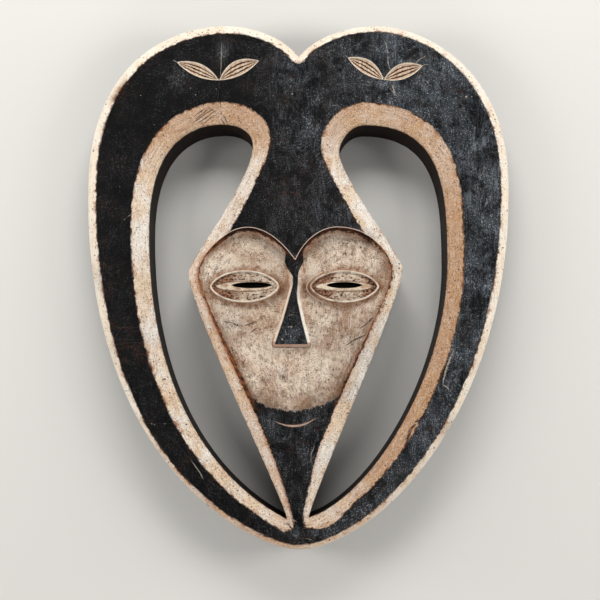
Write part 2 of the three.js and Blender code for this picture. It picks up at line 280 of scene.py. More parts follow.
def waves(xy, size, seed, detail=2):
    """Smooth noise between about -1 and 1. Size is the distance between waves in millimetres."""
    total = np.zeros(len(xy))
    weight = 1.0
    for octave in range(detail + 1):
        p = xy / size * 2 ** octave + seed * 17.3 + octave * 5.1
        cell = np.floor(p).astype(int)
        f = p - cell
        fx, fy = (f * f * (3 - 2 * f)).T
        i, j = (cell % TABLE).T
        i1, j1 = (i + 1) % TABLE, (j + 1) % TABLE
        low_side = RANDOM[i, j] * (1 - fx) + RANDOM[i1, j] * fx
        high_side = RANDOM[i, j1] * (1 - fx) + RANDOM[i1, j1] * fx
        total += weight * (low_side * (1 - fy) + high_side * fy)
        weight /= 2
    return total


trial = waves(heart[:, :2], 22, 1)
print("waves along the rim: from", round(trial.min(), 2), "to", round(trial.max(), 2))


# %% Adze strokes
def adze(xy, size, seed):
    """Shallow scallops, 0 on the ridges between strokes and 1 at the bottom of a stroke."""
    p = xy / size
    cell = np.floor(p)
    reach = []
    for step_x in (-1, 0, 1):
        for step_y in (-1, 0, 1):
            c = cell + (step_x, step_y)
            i, j = (c.astype(int) % TABLE).T
            spot = c + 0.5 + 0.4 * np.column_stack([RANDOM[i, j], RANDOM[j, (i + seed) % TABLE]])
            reach.append(np.hypot(*(p - spot).T))
    nearest, second = np.sort(reach, axis=0)[:2]
    return np.clip((second - nearest) * 1.4, 0, 1)


print("strokes along the rim: mean depth", round(adze(heart[:, :2], (15, 24), 3).mean(), 2))

# %% [markdown]
# ## The face
#
# The face is a shallow dish: deep under the brows, almost level with the plank at the chin. The
# nose is what the carver left standing between the cheeks, a wedge whose flat ridge runs on from
# the forehead. The eyes are almond lids with a raised rim, dished inside, and lips round the slit.

# %% The floor of the face
BROW_FLOOR = 38.0
CHEEK_FLOOR = 46.6
CHIN_FLOOR = 48.8
FACE_TOP = 52.0
MOUTH_Y = -130.0
SIDE_RISE = 5.0
TEMPLE_X = 95.0
FACE_X = -3.0
FLOOR_BEND = 1.25


def face_floor(x, y):
    """Height of the dish's floor."""
    down = np.clip((FACE_TOP - y) / (FACE_TOP - MOUTH_Y), 0, 1) ** FLOOR_BEND
    cheek = BROW_FLOOR + (CHEEK_FLOOR - BROW_FLOOR) * down
    chin = CHEEK_FLOOR + (CHIN_FLOOR - CHEEK_FLOOR) * (MOUTH_Y - y) / (MOUTH_Y - CHIN_Y)
    middle = np.where(y > MOUTH_Y, cheek, chin)
    s = np.clip((y - MOUTH_Y) / -MOUTH_Y, 0, 1)
    side = SIDE_RISE * ((x - FACE_X) / TEMPLE_X) ** 2 * s * s * (3 - 2 * s)
    return np.minimum(middle + side, THICK - 1)


floor_heights = [round(float(face_floor(FACE_X, y)), 1) for y in (FACE_TOP, 0, MOUTH_Y)]
print("floor at the brows, the eyes and the mouth:", floor_heights, "mm above the back")

# %% The nose
# Each row is y, the ridge's left and right edge, and how far its sides run out on a 10 mm fall.
NOSE_ROWS = np.array([
    (26, -4.2, -1.6, 3),
    (12, -5.4, -0.8, 4),
    (2, -4.9, -1.1, 6),
    (-6, -5.0, -1.4, 7),
    (-14, -7.2, -2.2, 7.5),
    (-22, -9.4, -1.5, 7.2),
    (-41, -14.7, 2.6, 6.5),
    (-64.5, -22.8, 8.6, 4.5),
])
NOSE_UNDER = 7.0
NOSE_FALL = 10.0
NOSE_STEP = 1.5


def densify(loop, step):
    """Adds points along the straight stretches of a loop."""
    out = []
    for a, b in zip(loop, np.roll(loop, -1, axis=0)):
        count = max(1, round(np.linalg.norm(b[:2] - a[:2]) / step))
        out += [a + (b - a) * k / count for k in range(count)]
    return np.array(out)


def nose_height(xy, out_of_ridge):
    """The ridge is flat; its sides fall away, steeply at the tip and gently at the eyes."""
    run = np.interp(-xy[:, 1], -NOSE_ROWS[:, 0], NOSE_ROWS[:, 3])
    run = np.where(xy[:, 1] < NOSE_ROWS[-1, 0], NOSE_UNDER, run)
    return THICK - np.maximum(0, out_of_ridge) * NOSE_FALL / run


nose_line = np.vstack([NOSE_ROWS[:, (1, 0)], NOSE_ROWS[::-1][:, (2, 0)]])
nose_loop = np.column_stack([nose_line, np.zeros((len(nose_line), 2))])
nose_edge = densify(nose_loop, NOSE_STEP)
print("points round the nose:", len(nose_edge))

# %% [markdown]
# ### The eyes
#
# Each lid is carved as a low mound with an almond plan, then dished, so that a thin rim stands
# round it and two lips stand round the slit. Nested almonds with a height each say all of that:
# between one almond and the next the wood slopes straight.

# %% The eyes
EYE_Y = -7.2
EYE_LEFT_X = -53.5
EYE_RIGHT_X = 45.5
SLIT_Y = -6.0
SLIT_HALF_H = 3.1
# Each row is an almond's half length, half height and height above the back.
EYE_RINGS = (
    (38, 19.8, 34),
    (34.2, 16.0, 47.1),
    (33.6, 15.5, 47.8),
    (32.8, 14.8, 47.6),
    (31.6, 13.7, 45.7),
    (28, 4.6, 46.6),
)
ALMOND_POWER = 0.62
SLITS = ((-46.3, 20), (45.5, 17.7))


def almond(cx, cy, half_length, half_height, count=64):
    """A closed almond: two equal arcs that meet in points at left and right."""
    a = 2 * np.pi * np.arange(count) / count
    x = np.cos(a)
    y = np.sign(np.sin(a)) * np.maximum(0, 1 - x * x) ** ALMOND_POWER
    loop = np.column_stack([cx + half_length * x, cy + half_height * y])
    return np.column_stack([loop, np.zeros((count, 2))])


def eye_height(xy, cx):
    """Height of a lid: straight slopes between nested almonds."""
    dx = np.abs(xy[:, 0] - cx)
    dy = np.abs(xy[:, 1] - EYE_Y)
    lengths = [r[0] for r in EYE_RINGS][::-1]
    heights = [r[2] for r in EYE_RINGS][::-1]
    on_axis = np.interp(dx, lengths, heights, right=-50)
    z = np.full(len(xy), -50.0)
    outer_h = np.zeros(len(xy))
    outer_z = z.copy()
    for k, (length, half, top) in enumerate(EYE_RINGS):
        within = dx < length
        h = np.where(within, half * np.maximum(0, 1 - (dx / length) ** 2) ** ALMOND_POWER, 0)
        level = np.where(within, top, on_axis)
        if k:
            share = np.clip((outer_h - dy) / np.maximum(outer_h - h, 1e-6), 0, 1)
            z = np.where((dy <= outer_h) & (dy >= h), outer_z + (level - outer_z) * share, z)
        outer_h, outer_z = h, level
    return np.where(dy < outer_h, outer_z, z)


print("lids:", 2 * EYE_RINGS[1][0], "x", 2 * EYE_RINGS[1][1], "mm, their rims", EYE_RINGS[2][2],
      "mm above the back")

# %% [markdown]
# ## Leaves and mouth
#
# Each horn carries a pair of leaves, cut a millimetre and a half deep down to the bare wood, with
# a few veins drawn along them with the knife's point. The mouth is one thin crescent. Both are
# slivers between two bulging lines, so one function measures them all.

# %% Slivers
# Each leaf is its left end, its right end, and its bulge above and below the line between them.
LEAVES = (
    ((-124.2, 223.2), (-80.8, 203.6), 8.0, 5.4),
    ((-80.6, 203.6), (-40.2, 224.1), 10.6, 5.2),
    ((49.9, 227.4), (86.4, 204.2), 9.6, 5.2),
    ((86.8, 204.2), (126.4, 219.4), 9.6, 6.4),
)
LEAF_DEPTH = 1.6
VEINS = 4
MOUTH = ((-22.0, -140.4), (16.8, -137.0), -3.0, 6.6)
MOUTH_DEPTH = 1.8


def in_sliver(xy, a, b, up, down):
    """Depth inside a sliver, negative outside, and the place across it from 0 below to 1 above."""
    a, b = np.array(a), np.array(b)
    length = np.linalg.norm(b - a)
    along = (b - a) / length
    t = (xy - a) @ along / length
    s = (xy - a) @ np.array((-along[1], along[0]))
    belly = 4 * np.clip(t, 0, 1) * np.clip(1 - t, 0, 1)
    top, bottom = up * belly, -down * belly
    depth = np.minimum(np.minimum(top - s, s - bottom), np.minimum(t, 1 - t) * length * 0.5)
    across = (s - bottom) / np.maximum(top - bottom, 0.4)
    return depth, across


def sliver_loop(a, b, up, down, count=26):
    """The sliver's own outline, for the mesh to follow."""
    a, b = np.array(a), np.array(b)
    length = np.linalg.norm(b - a)
    along = (b - a) / length
    out = np.array((-along[1], along[0]))
    t = np.linspace(0, 1, count)[:, None]
    belly = 4 * t * (1 - t)
    base = a + (b - a) * t
    loop = np.vstack([base - out * down * belly, (base + out * up * belly)[-2:0:-1]])
    return np.column_stack([loop, np.zeros((len(loop), 2))])


print("leaves:", [round(math.dist(*leaf[:2]), 1) for leaf in LEAVES], "mm long")

# %% [markdown]
# ## The whole front
#
# Now every rule comes together. First a survey notes what each point needs to know; the height
# follows from it here, and the paint will follow from the same notes later.

# %% Survey of the front
# By which share the heights shrink, and how far from the middle they have shrunk that much.
CROWN_X, CROWN_FROM_X = 0.10, 210
CROWN_Y, CROWN_FROM_Y = 0.04, 260


def crown(x, y):
    """The front is crowned: all heights shrink a little toward the sides and the ends."""
    return 1 - CROWN_X * (x / CROWN_FROM_X) ** 2 - CROWN_Y * (y / CROWN_FROM_Y) ** 2


def survey(xy):
    """Distances in millimetres that the height and the paint of the front follow."""
    s = {}
    s["rim"], s["rim_width"], _ = to_outline(xy, heart)
    left, left_width, left_drop = to_outline(xy, gap_left)
    right_, right_width, right_drop = to_outline(xy, gap_right)
    nearer = -left < -right_
    s["gap"] = np.where(nearer, -left, -right_)
    s["gap_width"] = np.where(nearer, left_width, right_width)
    s["gap_drop"] = np.where(nearer, left_drop, right_drop)
    s["face"], s["face_run"], _ = to_outline(xy, face_edge)
    s["nose"] = to_outline(xy, nose_edge)[0]
    for name, ring in (("eye", EYE_RINGS[1]), ("lips", EYE_RINGS[-1])):
        pair = [to_outline(xy, almond(cx, EYE_Y, *ring[:2]))[0] for cx in (EYE_LEFT_X, EYE_RIGHT_X)]
        s[name] = np.maximum(*pair)
    leaves = [in_sliver(xy, *leaf) for leaf in LEAVES]
    best = np.argmax([leaf[0] for leaf in leaves], axis=0)
    s["leaf"] = np.choose(best, [leaf[0] for leaf in leaves])
    s["vein"] = np.choose(best, [leaf[1] for leaf in leaves])
    s["mouth"], s["lip"] = in_sliver(xy, *MOUTH)
    return s


print("the crown lowers the sides by", round(THICK * (1 - crown(HALF_W, 0)), 1), "mm")

# %% Height of the front
HAND_WOBBLE = 0.35
FLOOR_WOBBLE = 0.45
RIDGE_HEIGHT = 0.3
FLOOR_FILLET = 1.2
NOSE_FILLET = 2.4
EYE_FILLET = 0.9
CUT_SLOPE = 0.9
VEIN_DEPTH = 0.3
DENT_DEPTH = 1.6
ROUNDING = 0.8
ROUNDING_WIDTH = 1.1


def hill(value, middle, width):
    """A smooth hill: 1 at its middle, 0.37 one width away, and nearly 0 beyond two."""
    return np.exp(-((value - middle) / width) ** 2)


def soft_max(a, b, radius):
    """The larger of two heights, with a fillet where they meet."""
    return 0.5 * (a + b + np.sqrt((a - b) ** 2 + radius ** 2))


def in_the_dish(xy, s, wobble):
    """Height inside the face: its floor, its side, the nose and the lids, whichever is highest."""
    floor = face_floor(*xy.T) + FLOOR_WOBBLE * wobble * np.clip(s["face"] / 8, 0, 1)
    rising_side = THICK - s["face"] * (THICK - BROW_FLOOR + 2) / s["face_run"]
    dish = soft_max(floor, rising_side, FLOOR_FILLET)
    dish = soft_max(dish, nose_height(xy, -s["nose"]), NOSE_FILLET)
    for cx in (EYE_LEFT_X, EYE_RIGHT_X):
        dish = soft_max(dish, eye_height(xy, cx), EYE_FILLET)
    return dish


def front_height(xy, s):
    """Height of the front above the back."""
    wobble = 0.5 * waves(xy, 22, 1) + 0.2 * waves(xy, 7, 2)
    z = THICK - OUTER_DROP * np.clip(1 - s["rim"] / s["rim_width"], 0, 1)
    z -= s["gap_drop"] * np.clip(1 - s["gap"] / s["gap_width"], 0, 1)
    z += HAND_WOBBLE * (wobble - 1.2)
    z += RIDGE_HEIGHT * hill(s["face"], -0.9, 0.7) * (s["gap"] > 3)
    z = np.where(s["face"] > 0, np.minimum(in_the_dish(xy, s, wobble), z), z)
    z -= LEAF_DEPTH * np.clip(s["leaf"] / CUT_SLOPE, 0, 1)
    z -= VEIN_DEPTH * np.clip(s["leaf"] / 1.5, 0, 1) * np.cos(s["vein"] * VEINS * 2 * np.pi)
    z -= MOUTH_DEPTH * np.clip(s["mouth"] / CUT_SLOPE, 0, 1) * np.clip(1.2 - s["lip"], 0, 1)
    edge = np.minimum(s["rim"], s["gap"])
    z -= DENT_DEPTH * np.clip(waves(xy, 11, 3) - 0.42, 0, 1) * np.exp(-edge / 3)
    z -= ROUNDING * np.clip(1 - edge / ROUNDING_WIDTH, 0, 1) ** 2
    return np.minimum(z, THICK - 0.02) * crown(*xy.T)


for place_name, spot in (("forehead", (0.0, 120.0)), ("cheek", (-50.0, -60.0)), ("nose", (-7.0, -50.0))):
    spot_xy = np.array([spot])
    spot_z = front_height(spot_xy, survey(spot_xy))[0]
    print(place_name, "is", round(spot_z, 1), "mm above the back")

# %% [markdown]
# ## A mesh that follows the carving
#
# A plain grid would cut across the ridges and give them teeth. So the ridges, edges and rims go
# in as lines first, then points fill the space between them, and Blender's constrained
# triangulation joins everything up without crossing a line.
#
# The eye slits are cut right through, from the lids in front to the hollow behind. Lines of both
# sides run across them, so a slit gets an extra point at each crossing. Front, back and the
# slit's own walls then share all their points and close without a gap.

# %% Rings of the hollow
HOLLOW_MIDDLE_Y = -35.0
# Shares of the hollow's outline at which its wall changes slope, from its roof out to the back.
HOLLOW_SHARES = (0.74, 0.88, 0.95, 1.0)
hollow_from = hollow_edge[:, :2] - (0, HOLLOW_MIDDLE_Y)
hollow_loops = []
for share in HOLLOW_SHARES:
    ring = hollow_edge.copy()
    ring[:, :2] = hollow_from * share + (FACE_X, HOLLOW_MIDDLE_Y)
    hollow_loops.append(ring)
print("rings of the hollow:", len(hollow_loops), "with", len(hollow_edge), "points each")


# %% Slits
LID_POINTS = 96
SLIT_POINTS = 40
NEAR_END = 0.001


def with_crossings(loop, others):
    """The loop with a point more wherever one of the other loops crosses it."""
    out = []
    for a, b in zip(loop, np.roll(loop, -1, axis=0)):
        side = b[:2] - a[:2]
        shares = []
        for other in others:
            start = other[:, :2]
            other_side = np.roll(start, -1, axis=0) - start
            away = start - a[:2]
            twist = side[0] * other_side[:, 1] - side[1] * other_side[:, 0]
            twist = np.where(np.abs(twist) < 1e-12, 1e-12, twist)
            share = (away[:, 0] * other_side[:, 1] - away[:, 1] * other_side[:, 0]) / twist
            other_share = (away[:, 0] * side[1] - away[:, 1] * side[0]) / twist
            on_this = (share > NEAR_END) & (share < 1 - NEAR_END)
            on_other = (other_share >= 0) & (other_share < 1)
            shares += share[on_this & on_other].tolist()
        out.append(a)
        out += [a + (b - a) * t for t in sorted(shares)]
    return np.array(out)


lid_rings = [almond(cx, EYE_Y, length, half, LID_POINTS)
             for cx in (EYE_LEFT_X, EYE_RIGHT_X) for length, half, _ in EYE_RINGS[1:]]
slit_loops = []
for cx, half in SLITS:
    plain = almond(cx, SLIT_Y, half, SLIT_HALF_H, SLIT_POINTS)
    slit_loops.append(with_crossings(plain, lid_rings + hollow_loops))
print("points round the slits:", [len(slit) for slit in slit_loops])

# %% Lines of the front
edge_loops = [heart, gap_left, gap_right, *slit_loops]
crease_loops = [
    offset(heart, -heart[:, 2]),
    offset(gap_left, gap_left[:, 2]),
    offset(gap_right, gap_right[:, 2]),
    offset(heart, -ROUNDING_WIDTH),
    offset(gap_left, ROUNDING_WIDTH),
    offset(gap_right, ROUNDING_WIDTH),
    face_edge,
    nose_edge,
    *lid_rings,
]
crease_loops += [sliver_loop(*leaf) for leaf in (*LEAVES, MOUTH)]
print("lines:", len(edge_loops), "edges and", len(crease_loops), "creases")

# %% [markdown]
# ### Points between the lines
#
# The plain wood needs few points and the face and leaves need many. Points set like a honeycomb
# give even triangles, and a small nudge to each hides the rows.

# %% Points between the lines
PLANK_STEP = 2.1
FACE_STEP = 1.3
LEAF_STEP = 1.0
NUDGE = 0.15


def hex_points(x0, x1, y0, y1, step, seed):
    """Points in a honeycomb, each nudged a little so that no rows show."""
    rows = np.arange(y0, y1, step * 0.866)
    points = [(x + (k % 2) * step / 2, y) for k, y in enumerate(rows) for x in np.arange(x0, x1, step)]
    rng = np.random.default_rng(seed)
    return np.array(points) + rng.uniform(-NUDGE, NUDGE, (len(points), 2)) * step


def clear_of(points, loops, distance):
    """Keeps the points that are at least that far from every loop's points."""
    lines = finder(np.vstack([loop[:, :2] for loop in loops]))
    keep = [lines.find((x, y, 0))[2] > distance for x, y in points.tolist()]
    return points[keep]


def in_leaves(xy):
    """Depth inside the nearest leaf."""
    return np.max([in_sliver(xy, *leaf)[0] for leaf in LEAVES], axis=0)


coarse = hex_points(-HALF_W, HALF_W, -HALF_H, HALF_H, PLANK_STEP, 1)
fine = hex_points(-105, 100, CHIN_Y, 58, FACE_STEP, 2)
finest = hex_points(-128, 130, 198, 232, LEAF_STEP, 3)
coarse = coarse[(to_outline(coarse, face_edge)[0] <= -3) & (in_leaves(coarse) <= -2)]
fine = fine[to_outline(fine, face_edge)[0] > -2]
finest = finest[in_leaves(finest) > -1]
fill = np.vstack([
    clear_of(coarse, edge_loops + crease_loops, 1.2),
    clear_of(fine, edge_loops + crease_loops, 0.75),
    clear_of(finest, edge_loops + crease_loops, 0.6),
])
print("points between the lines, those in the openings included:", len(fill))


# %% Triangles that keep to the lines
def triangulate(loops, creases, fill, outer, holes):
    """Triangles over the wood: inside the outer loop and outside every hole."""
    points, edges = [], []
    for loop in (*loops, *creases):
        first = len(points)
        points += loop[:, :2].tolist()
        edges += [(first + k, first + (k + 1) % len(loop)) for k in range(len(loop))]
    points += fill.tolist()
    result = delaunay_2d_cdt([Vector(p) for p in points], edges, [], 0, 1e-5, False)
    xy = np.array([tuple(p) for p in result[0]])
    tris = np.array(result[2])
    centre = xy[tris].mean(1)
    inside = to_outline(centre, outer)[0] > 0
    for hole in holes:
        inside &= to_outline(centre, hole)[0] < 0
    tris = tris[inside]
    a, b, c = xy[tris].transpose(1, 0, 2)
    area = (b[:, 0] - a[:, 0]) * (c[:, 1] - a[:, 1]) - (b[:, 1] - a[:, 1]) * (c[:, 0] - a[:, 0])
    tris[area < 0] = tris[area < 0][:, ::-1]
    used, tris = np.unique(tris, return_inverse=True)
    return xy[used], tris.reshape(-1, 3)


front_xy, front_tris = triangulate(edge_loops, crease_loops, fill, heart, edge_loops[1:])
notes = survey(front_xy)
front_z = front_height(front_xy, notes)
print("front:", len(front_xy), "points,", len(front_tris), "triangles")

# %% [markdown]
# ## The back
#
# Nobody sees the back of a mask in use, so it is left as the adze cut it: flat with shallow
# scallops, and a rounded hollow behind the face. The hollow's wall is described by shares of its
# outline: at the full outline it is at the back, and at three quarters it reaches its roof.

# %% The back's height
HOLLOW_HEIGHTS = (31.0, 24.8, 15.5, 0.0)
ADZE_OUTSIDE = 0.7
ADZE_INSIDE = 1.2

# The outline seen from the hollow's middle: how far away it is in each direction.
hollow_turn = np.arctan2(hollow_from[:, 1], hollow_from[:, 0])
hollow_order = np.argsort(hollow_turn)
hollow_reach = np.hypot(*hollow_from.T)[hollow_order]
hollow_turn = hollow_turn[hollow_order]


def hollow_share(xy):
    """0 in the middle of the hollow, 1 on its outline, more outside."""
    d = xy - (FACE_X, HOLLOW_MIDDLE_Y)
    reach = np.interp(np.arctan2(d[:, 1], d[:, 0]), hollow_turn, hollow_reach, period=2 * np.pi)
    return np.hypot(*d.T) / reach


def back_height(xy):
    """Height of the back above the floor: adze marks outside the hollow and in it."""
    share = hollow_share(xy)
    z = np.interp(share, HOLLOW_SHARES, HOLLOW_HEIGHTS)
    within = np.clip((1 - share) * 12, 0, 1)
    z += ADZE_OUTSIDE * adze(xy, (15, 24), 3) * (1 - within)
    z -= ADZE_INSIDE * adze(xy, (11, 19), 5) * within
    return z * crown(*xy.T)


roof = back_height(np.array([[FACE_X, HOLLOW_MIDDLE_Y]]))[0]
print("the hollow's roof is", round(roof, 1), "mm above the floor")

# %% The back's mesh
BACK_EDGE = 3.0
BACK_STEP = 3.4

back_edge = offset(heart, -BACK_EDGE)
back_loops = [back_edge, gap_left, gap_right, *slit_loops]
back_fill = hex_points(-HALF_W, HALF_W, -HALF_H, HALF_H, BACK_STEP, 4)
back_fill = clear_of(back_fill, back_loops + hollow_loops, 1.9)
back_xy, back_tris = triangulate(back_loops, hollow_loops, back_fill, back_edge, back_loops[1:])
back_z = np.maximum(back_height(back_xy), 0)
on_back_edge = to_outline(back_xy, back_edge)[0] < 0.01
back_z[on_back_edge] = 0
print("back:", len(back_xy), "points,", len(back_tris), "triangles")

# %% [markdown]
# ## Walls
#
# Each loop of edge points is drawn down to the matching loop of the back, row by row. The saw and
# the knife left these walls slightly uneven, so the middle rows move into the wood a little.
# Round the outside the wall ends in a chamfer, because the back's edge lies further in.

# %% Walls between front and back
WALL_ROWS = (0, 0.025, 0.07, 0.2, 0.4, 0.6, 0.8, 1.0)
SLIT_ROWS = (0, 0.07, 0.3, 0.65, 1.0)
WALL_DENT = 0.35


def wall(loop, low_loop, rows, seed, into):
    """Rows of points from the front's edge to the back's, and the quads between them."""
    n = len(loop)
    xy = loop[:, :2]
    low_xy = low_loop[:, :2]
    top = front_height(xy, survey(xy))
    chamfered = low_loop is not loop
    lower = np.full(n, BACK_EDGE) if chamfered else np.maximum(back_height(low_xy), 0)
    inward = offset(loop, -1.0)[:, :2] - xy
    points = []
    for share in rows:
        z = top + (lower - top) * share
        uneven = waves(np.column_stack([np.arange(n) * EDGE_STEP, z]), 9, seed)
        dent = WALL_DENT * np.maximum(0, uneven + 1) * math.sin(math.pi * share)
        points.append(np.column_stack([xy + into * inward * dent[:, None], z]))
    if chamfered:
        points.append(np.column_stack([low_xy, np.zeros(n)]))
    quads = []
    for r in range(len(points) - 1):
        for k in range(n):
            j = (k + 1) % n
            quads.append((r * n + k, (r + 1) * n + k, (r + 1) * n + j, r * n + j))
    depth = np.concatenate([top - p[:, 2] for p in points])
    if into < 0:
        quads = [q[::-1] for q in quads]
    return np.vstack(points), quads, depth


walls = [wall(heart, back_edge, WALL_ROWS, 11, 1)]
walls += [wall(gap, gap, WALL_ROWS, seed, -1) for gap, seed in ((gap_left, 12), (gap_right, 13))]
walls += [wall(slit, slit, SLIT_ROWS, 14, -1) for slit in slit_loops]
print("walls:", sum(len(quads) for _, quads, _ in walls), "quads")

# %% [markdown]
# ## Notes for the paint
#
# The painter's brush followed the carving, but not slavishly: the white rim is wide high on the
# left horn and thin low down, the bands end raggedly, and hands wore some places more than others.
# What the paint needs to know is worked out here for every point of the mesh. Later the shader
# reads it, and frays it far more finely than the mesh could.

# %% Where the paints end
def ramp_up(value, start, length):
    """0 up to the start, then rising to 1 over that length."""
    return np.clip((value - start) / length, 0, 1)


def ramp_down(value, start, length):
    """1 a length below the start, then falling to 0 at the start."""
    return np.clip((start - value) / length, 0, 1)


def neck(y):
    """How far from the middle the jaw and neck reach at that height, between the openings."""
    return 95 - 0.45 * (y - 20)


def chin_top(x):
    """The sagging line where the white cheeks end and the black chin begins."""
    return -129.5 + 11 * ((x + 5) / 38) ** 2


def groove_width(xy):
    """The dark line inside the face's edge: wide under the brows, narrow at the temples."""
    x, y = xy.T
    brow = 1.5 * ramp_up(y, 12, 30)
    jaw = np.where(x < 0, 1.8, 0.4) * ramp_down(y, -20, 80)
    return 0.7 + brow + jaw


def rim_border(xy, s):
    """Distance to the inner line of the white rim: wide high on the left horn, thin low down."""
    x, y = xy.T
    on_left = ramp_down(x, -60, 60)
    thin = 1.8 * on_left * ramp_down(y, -105, 40)
    wide = 1.6 * on_left * ramp_up(y, -90, 60)
    return s["rim"] - s["rim_width"] + thin - wide


def band_border(xy, s):
    """Distance to the inner line of the white bands. The jaw's border is white right across."""
    x, y = xy.T
    spread = 1.2 * ramp_up(x, 60, 40) * ramp_down(y, 60, 40)
    spread -= 4.2 * hill(y, 105, 36) * (np.abs(x) < neck(y))
    spread += 5.0 * hill(x, 30, 14) * (y < -200)
    spread += 2.0 * hill(x, -18, 12) * (y < -200)
    line = s["gap"] - s["gap_width"] - spread
    on_jaw = (s["gap"] - s["face"] < 18) & (s["face"] <= 0) & (y < 15)
    black_chin = s["face"] + np.where(x < 0, 0.8, 4.6) * ramp_down(y, -160, 70)
    line = np.where(on_jaw, np.maximum(np.minimum(line, -3.0), black_chin), line)
    tip = np.where(y < -233, 4.4 - np.abs(x - 0.2), -9.0)
    return np.where(s["face"] > 0, line, np.maximum(line, tip))


in_white_rim = rim_border(front_xy, notes) < 0
print("front points in the white rim:", int(in_white_rim.sum()))


# %% How worn the white is
def worn_white(xy, s):
    """How brown the white is: most on the horns' bands, over the openings and at the tip."""
    x, y = xy.T
    right_band = ramp_up(x, 15, 70) * ramp_down(y, 150, 60) * (s["gap"] < 24)
    right_band *= (s["face"] < -18) & ((y < 0) | (x > neck(y)))
    bends = ramp_up(y, 100, 50) * (s["gap"] < 26) * np.where(x < 0, 0.9, 0.75)
    left_neck = (x < 0) * (-x < neck(y)) * ramp_up(y, 0, 20) * 0.28
    tip = ramp_down(y, -200, 60) * 0.35
    low_rim = ramp_down(y, -120, 70) * (s["rim"] < 12) * np.where(x < 0, 0.5, 0.2)
    return np.clip(right_band + np.maximum(bends, left_neck) + tip + low_rim, 0, 1)


def lid_red(xy):
    """Where red-brown shows on the lids: the outer end of the left one, both ends of the right."""
    x = xy[:, 0]
    left = ramp_down(x, EYE_LEFT_X - 2, 16)
    right = ramp_up(np.abs(x - EYE_RIGHT_X - 3), 9, 12)
    return np.where(x < FACE_X, left, right)


print("wear on the front: mean", round(worn_white(front_xy, notes).mean(), 2))

# %% Dirty, dusty and clean places, and painted sheen
# Dirty and rubbed places: x, y, radius and strength.
SMUDGES = (
    (-15.3, -96.6, 4.5, 0.9),
    (-33.0, -100.6, 4.0, 0.7),
    (50, -58, 30, 0.42),
    (-66, -44, 18, 0.3),
    (41, -105, 16, 0.42),
    (14, -117, 12, 0.4),
    (-30, -120, 14, 0.3),
    (-14, -12, 7, 0.6),
    (9, -9, 7, 0.75),
    (70, 40, 6, 0.9),
    (52, 44, 14, 0.3),
    (88, 12, 10, 0.5),
    (-175, 200, 5, 1.0),
    (-181, 193, 5, 1.0),
    (-186, 185, 5, 1.0),
    (40, 262, 6, 0.7),
    (-8, 89, 15, 0.8),
    (-188, 2, 16, 0.6),
    (-166, -67, 18, 0.5),
    (150, -150, 14, 0.4),
)
# Places where the black turns grey: thick grey dust, and on the chin painted sheen as well, in the same
# order.
CHALK_AND_SHEEN = (
    (90.5, 233, 11, 0.9),
    (-78.5, 234, 9, 0.8),
    (-120, 208, 14, 0.4),
    (-8, 211, 22, 0.6),
    (128, 150, 30, 0.35),
    (12, 150, 26, 0.3),
    (96, 190, 12, 0.5),
    (-8, -54, 13, 0.9),
    (-30, -140, 10, 0.5),
    (4, -165, 22, 0.35),
    (-16, -152, 7, 0.6),
    (14, -150, 8, 0.5),
    (30, -248, 14, 0.4),
    (-1.5, -246, 4, 1.0),
    (89, 241, 4, 1.0),
    (91, 229, 4, 1.0),
    (93, 217, 3.5, 0.8),
    (-78.5, 240, 3, 0.8),
)
# Places where the white is thick and clean, in the same order.
FRESH = (
    (-72, 12, 16, 0.7),
    (-65, -41, 11, 0.8),
    (-20, 30, 10, 0.5),
    (14, 6, 9, 0.9),
    (30, 30, 10, 0.4),
    (13, -53, 7, 0.9),
    (18, -83, 18, 0.6),
    (-30, -72, 13, 0.5),
    (-12, -102, 12, 0.4),
    (22, -116, 7, 0.5),
)


def patches(xy, rows):
    """Soft round patches, added up."""
    total = np.zeros(len(xy))
    for x, y, radius, strength in rows:
        total += strength * np.exp(-((xy - (x, y)) ** 2).sum(1) / radius ** 2)
    return np.minimum(total, 1)


print("patches:", len(SMUDGES), "dirty,", len(CHALK_AND_SHEEN), "dusty and", len(FRESH), "clean")

# %% All notes of a point
NOTES = ("rim", "rim_line", "gap", "band_line", "face", "groove", "chin_line", "nose", "eye", "lips",
         "leaf", "vein", "mouth", "lip", "worn", "dust_and_sheen", "chalk_and_sheen", "fresh", "smudge", "lid_red",
         "depth")


def notes_for(xy, s, depth):
    """The notes of the given points, one column for each name."""
    rows = {
        "rim_line": rim_border(xy, s),
        "band_line": band_border(xy, s),
        "groove": groove_width(xy),
        "chin_line": xy[:, 1] - chin_top(xy[:, 0]),
        "worn": worn_white(xy, s),
        # More painted sheen and dust on the black toward the right.
        "dust_and_sheen": ramp_up(xy[:, 0], -60, 190),
        "chalk_and_sheen": patches(xy, CHALK_AND_SHEEN),
        "fresh": patches(xy, FRESH),
        "smudge": patches(xy, SMUDGES),
        "lid_red": lid_red(xy),
        "depth": depth,
    }
    return np.column_stack([rows.get(name, s.get(name)) for name in NOTES])


print("notes on each point:", len(NOTES))

# %% [markdown]
# ## One closed mesh
#
# Front, back and walls share their edge points, so welding the doubles closes the skin. The notes
# are stored on the points as attributes, and every face remembers which finish it gets.

# %% Put the mesh together
FRONT, EDGE, REAR = 0, 1, 2
BACK_DEPTH = 50.0

points = [np.column_stack([front_xy, front_z]), np.column_stack([back_xy, back_z])]
columns = [
    notes_for(front_xy, notes, np.zeros(len(front_xy))),
    notes_for(back_xy, survey(back_xy), np.full(len(back_xy), BACK_DEPTH)),
]
faces = front_tris.tolist() + (back_tris[:, ::-1] + len(front_xy)).tolist()
finish = [FRONT] * len(front_tris) + [REAR] * len(back_tris)
total = len(front_xy) + len(back_xy)
for xyz, quads, depth in walls:
    points.append(xyz)
    columns.append(notes_for(xyz[:, :2], survey(xyz[:, :2]), depth))
    faces += [tuple(total + k for k in quad) for quad in quads]
    finish += [EDGE] * len(quads)
    total += len(xyz)

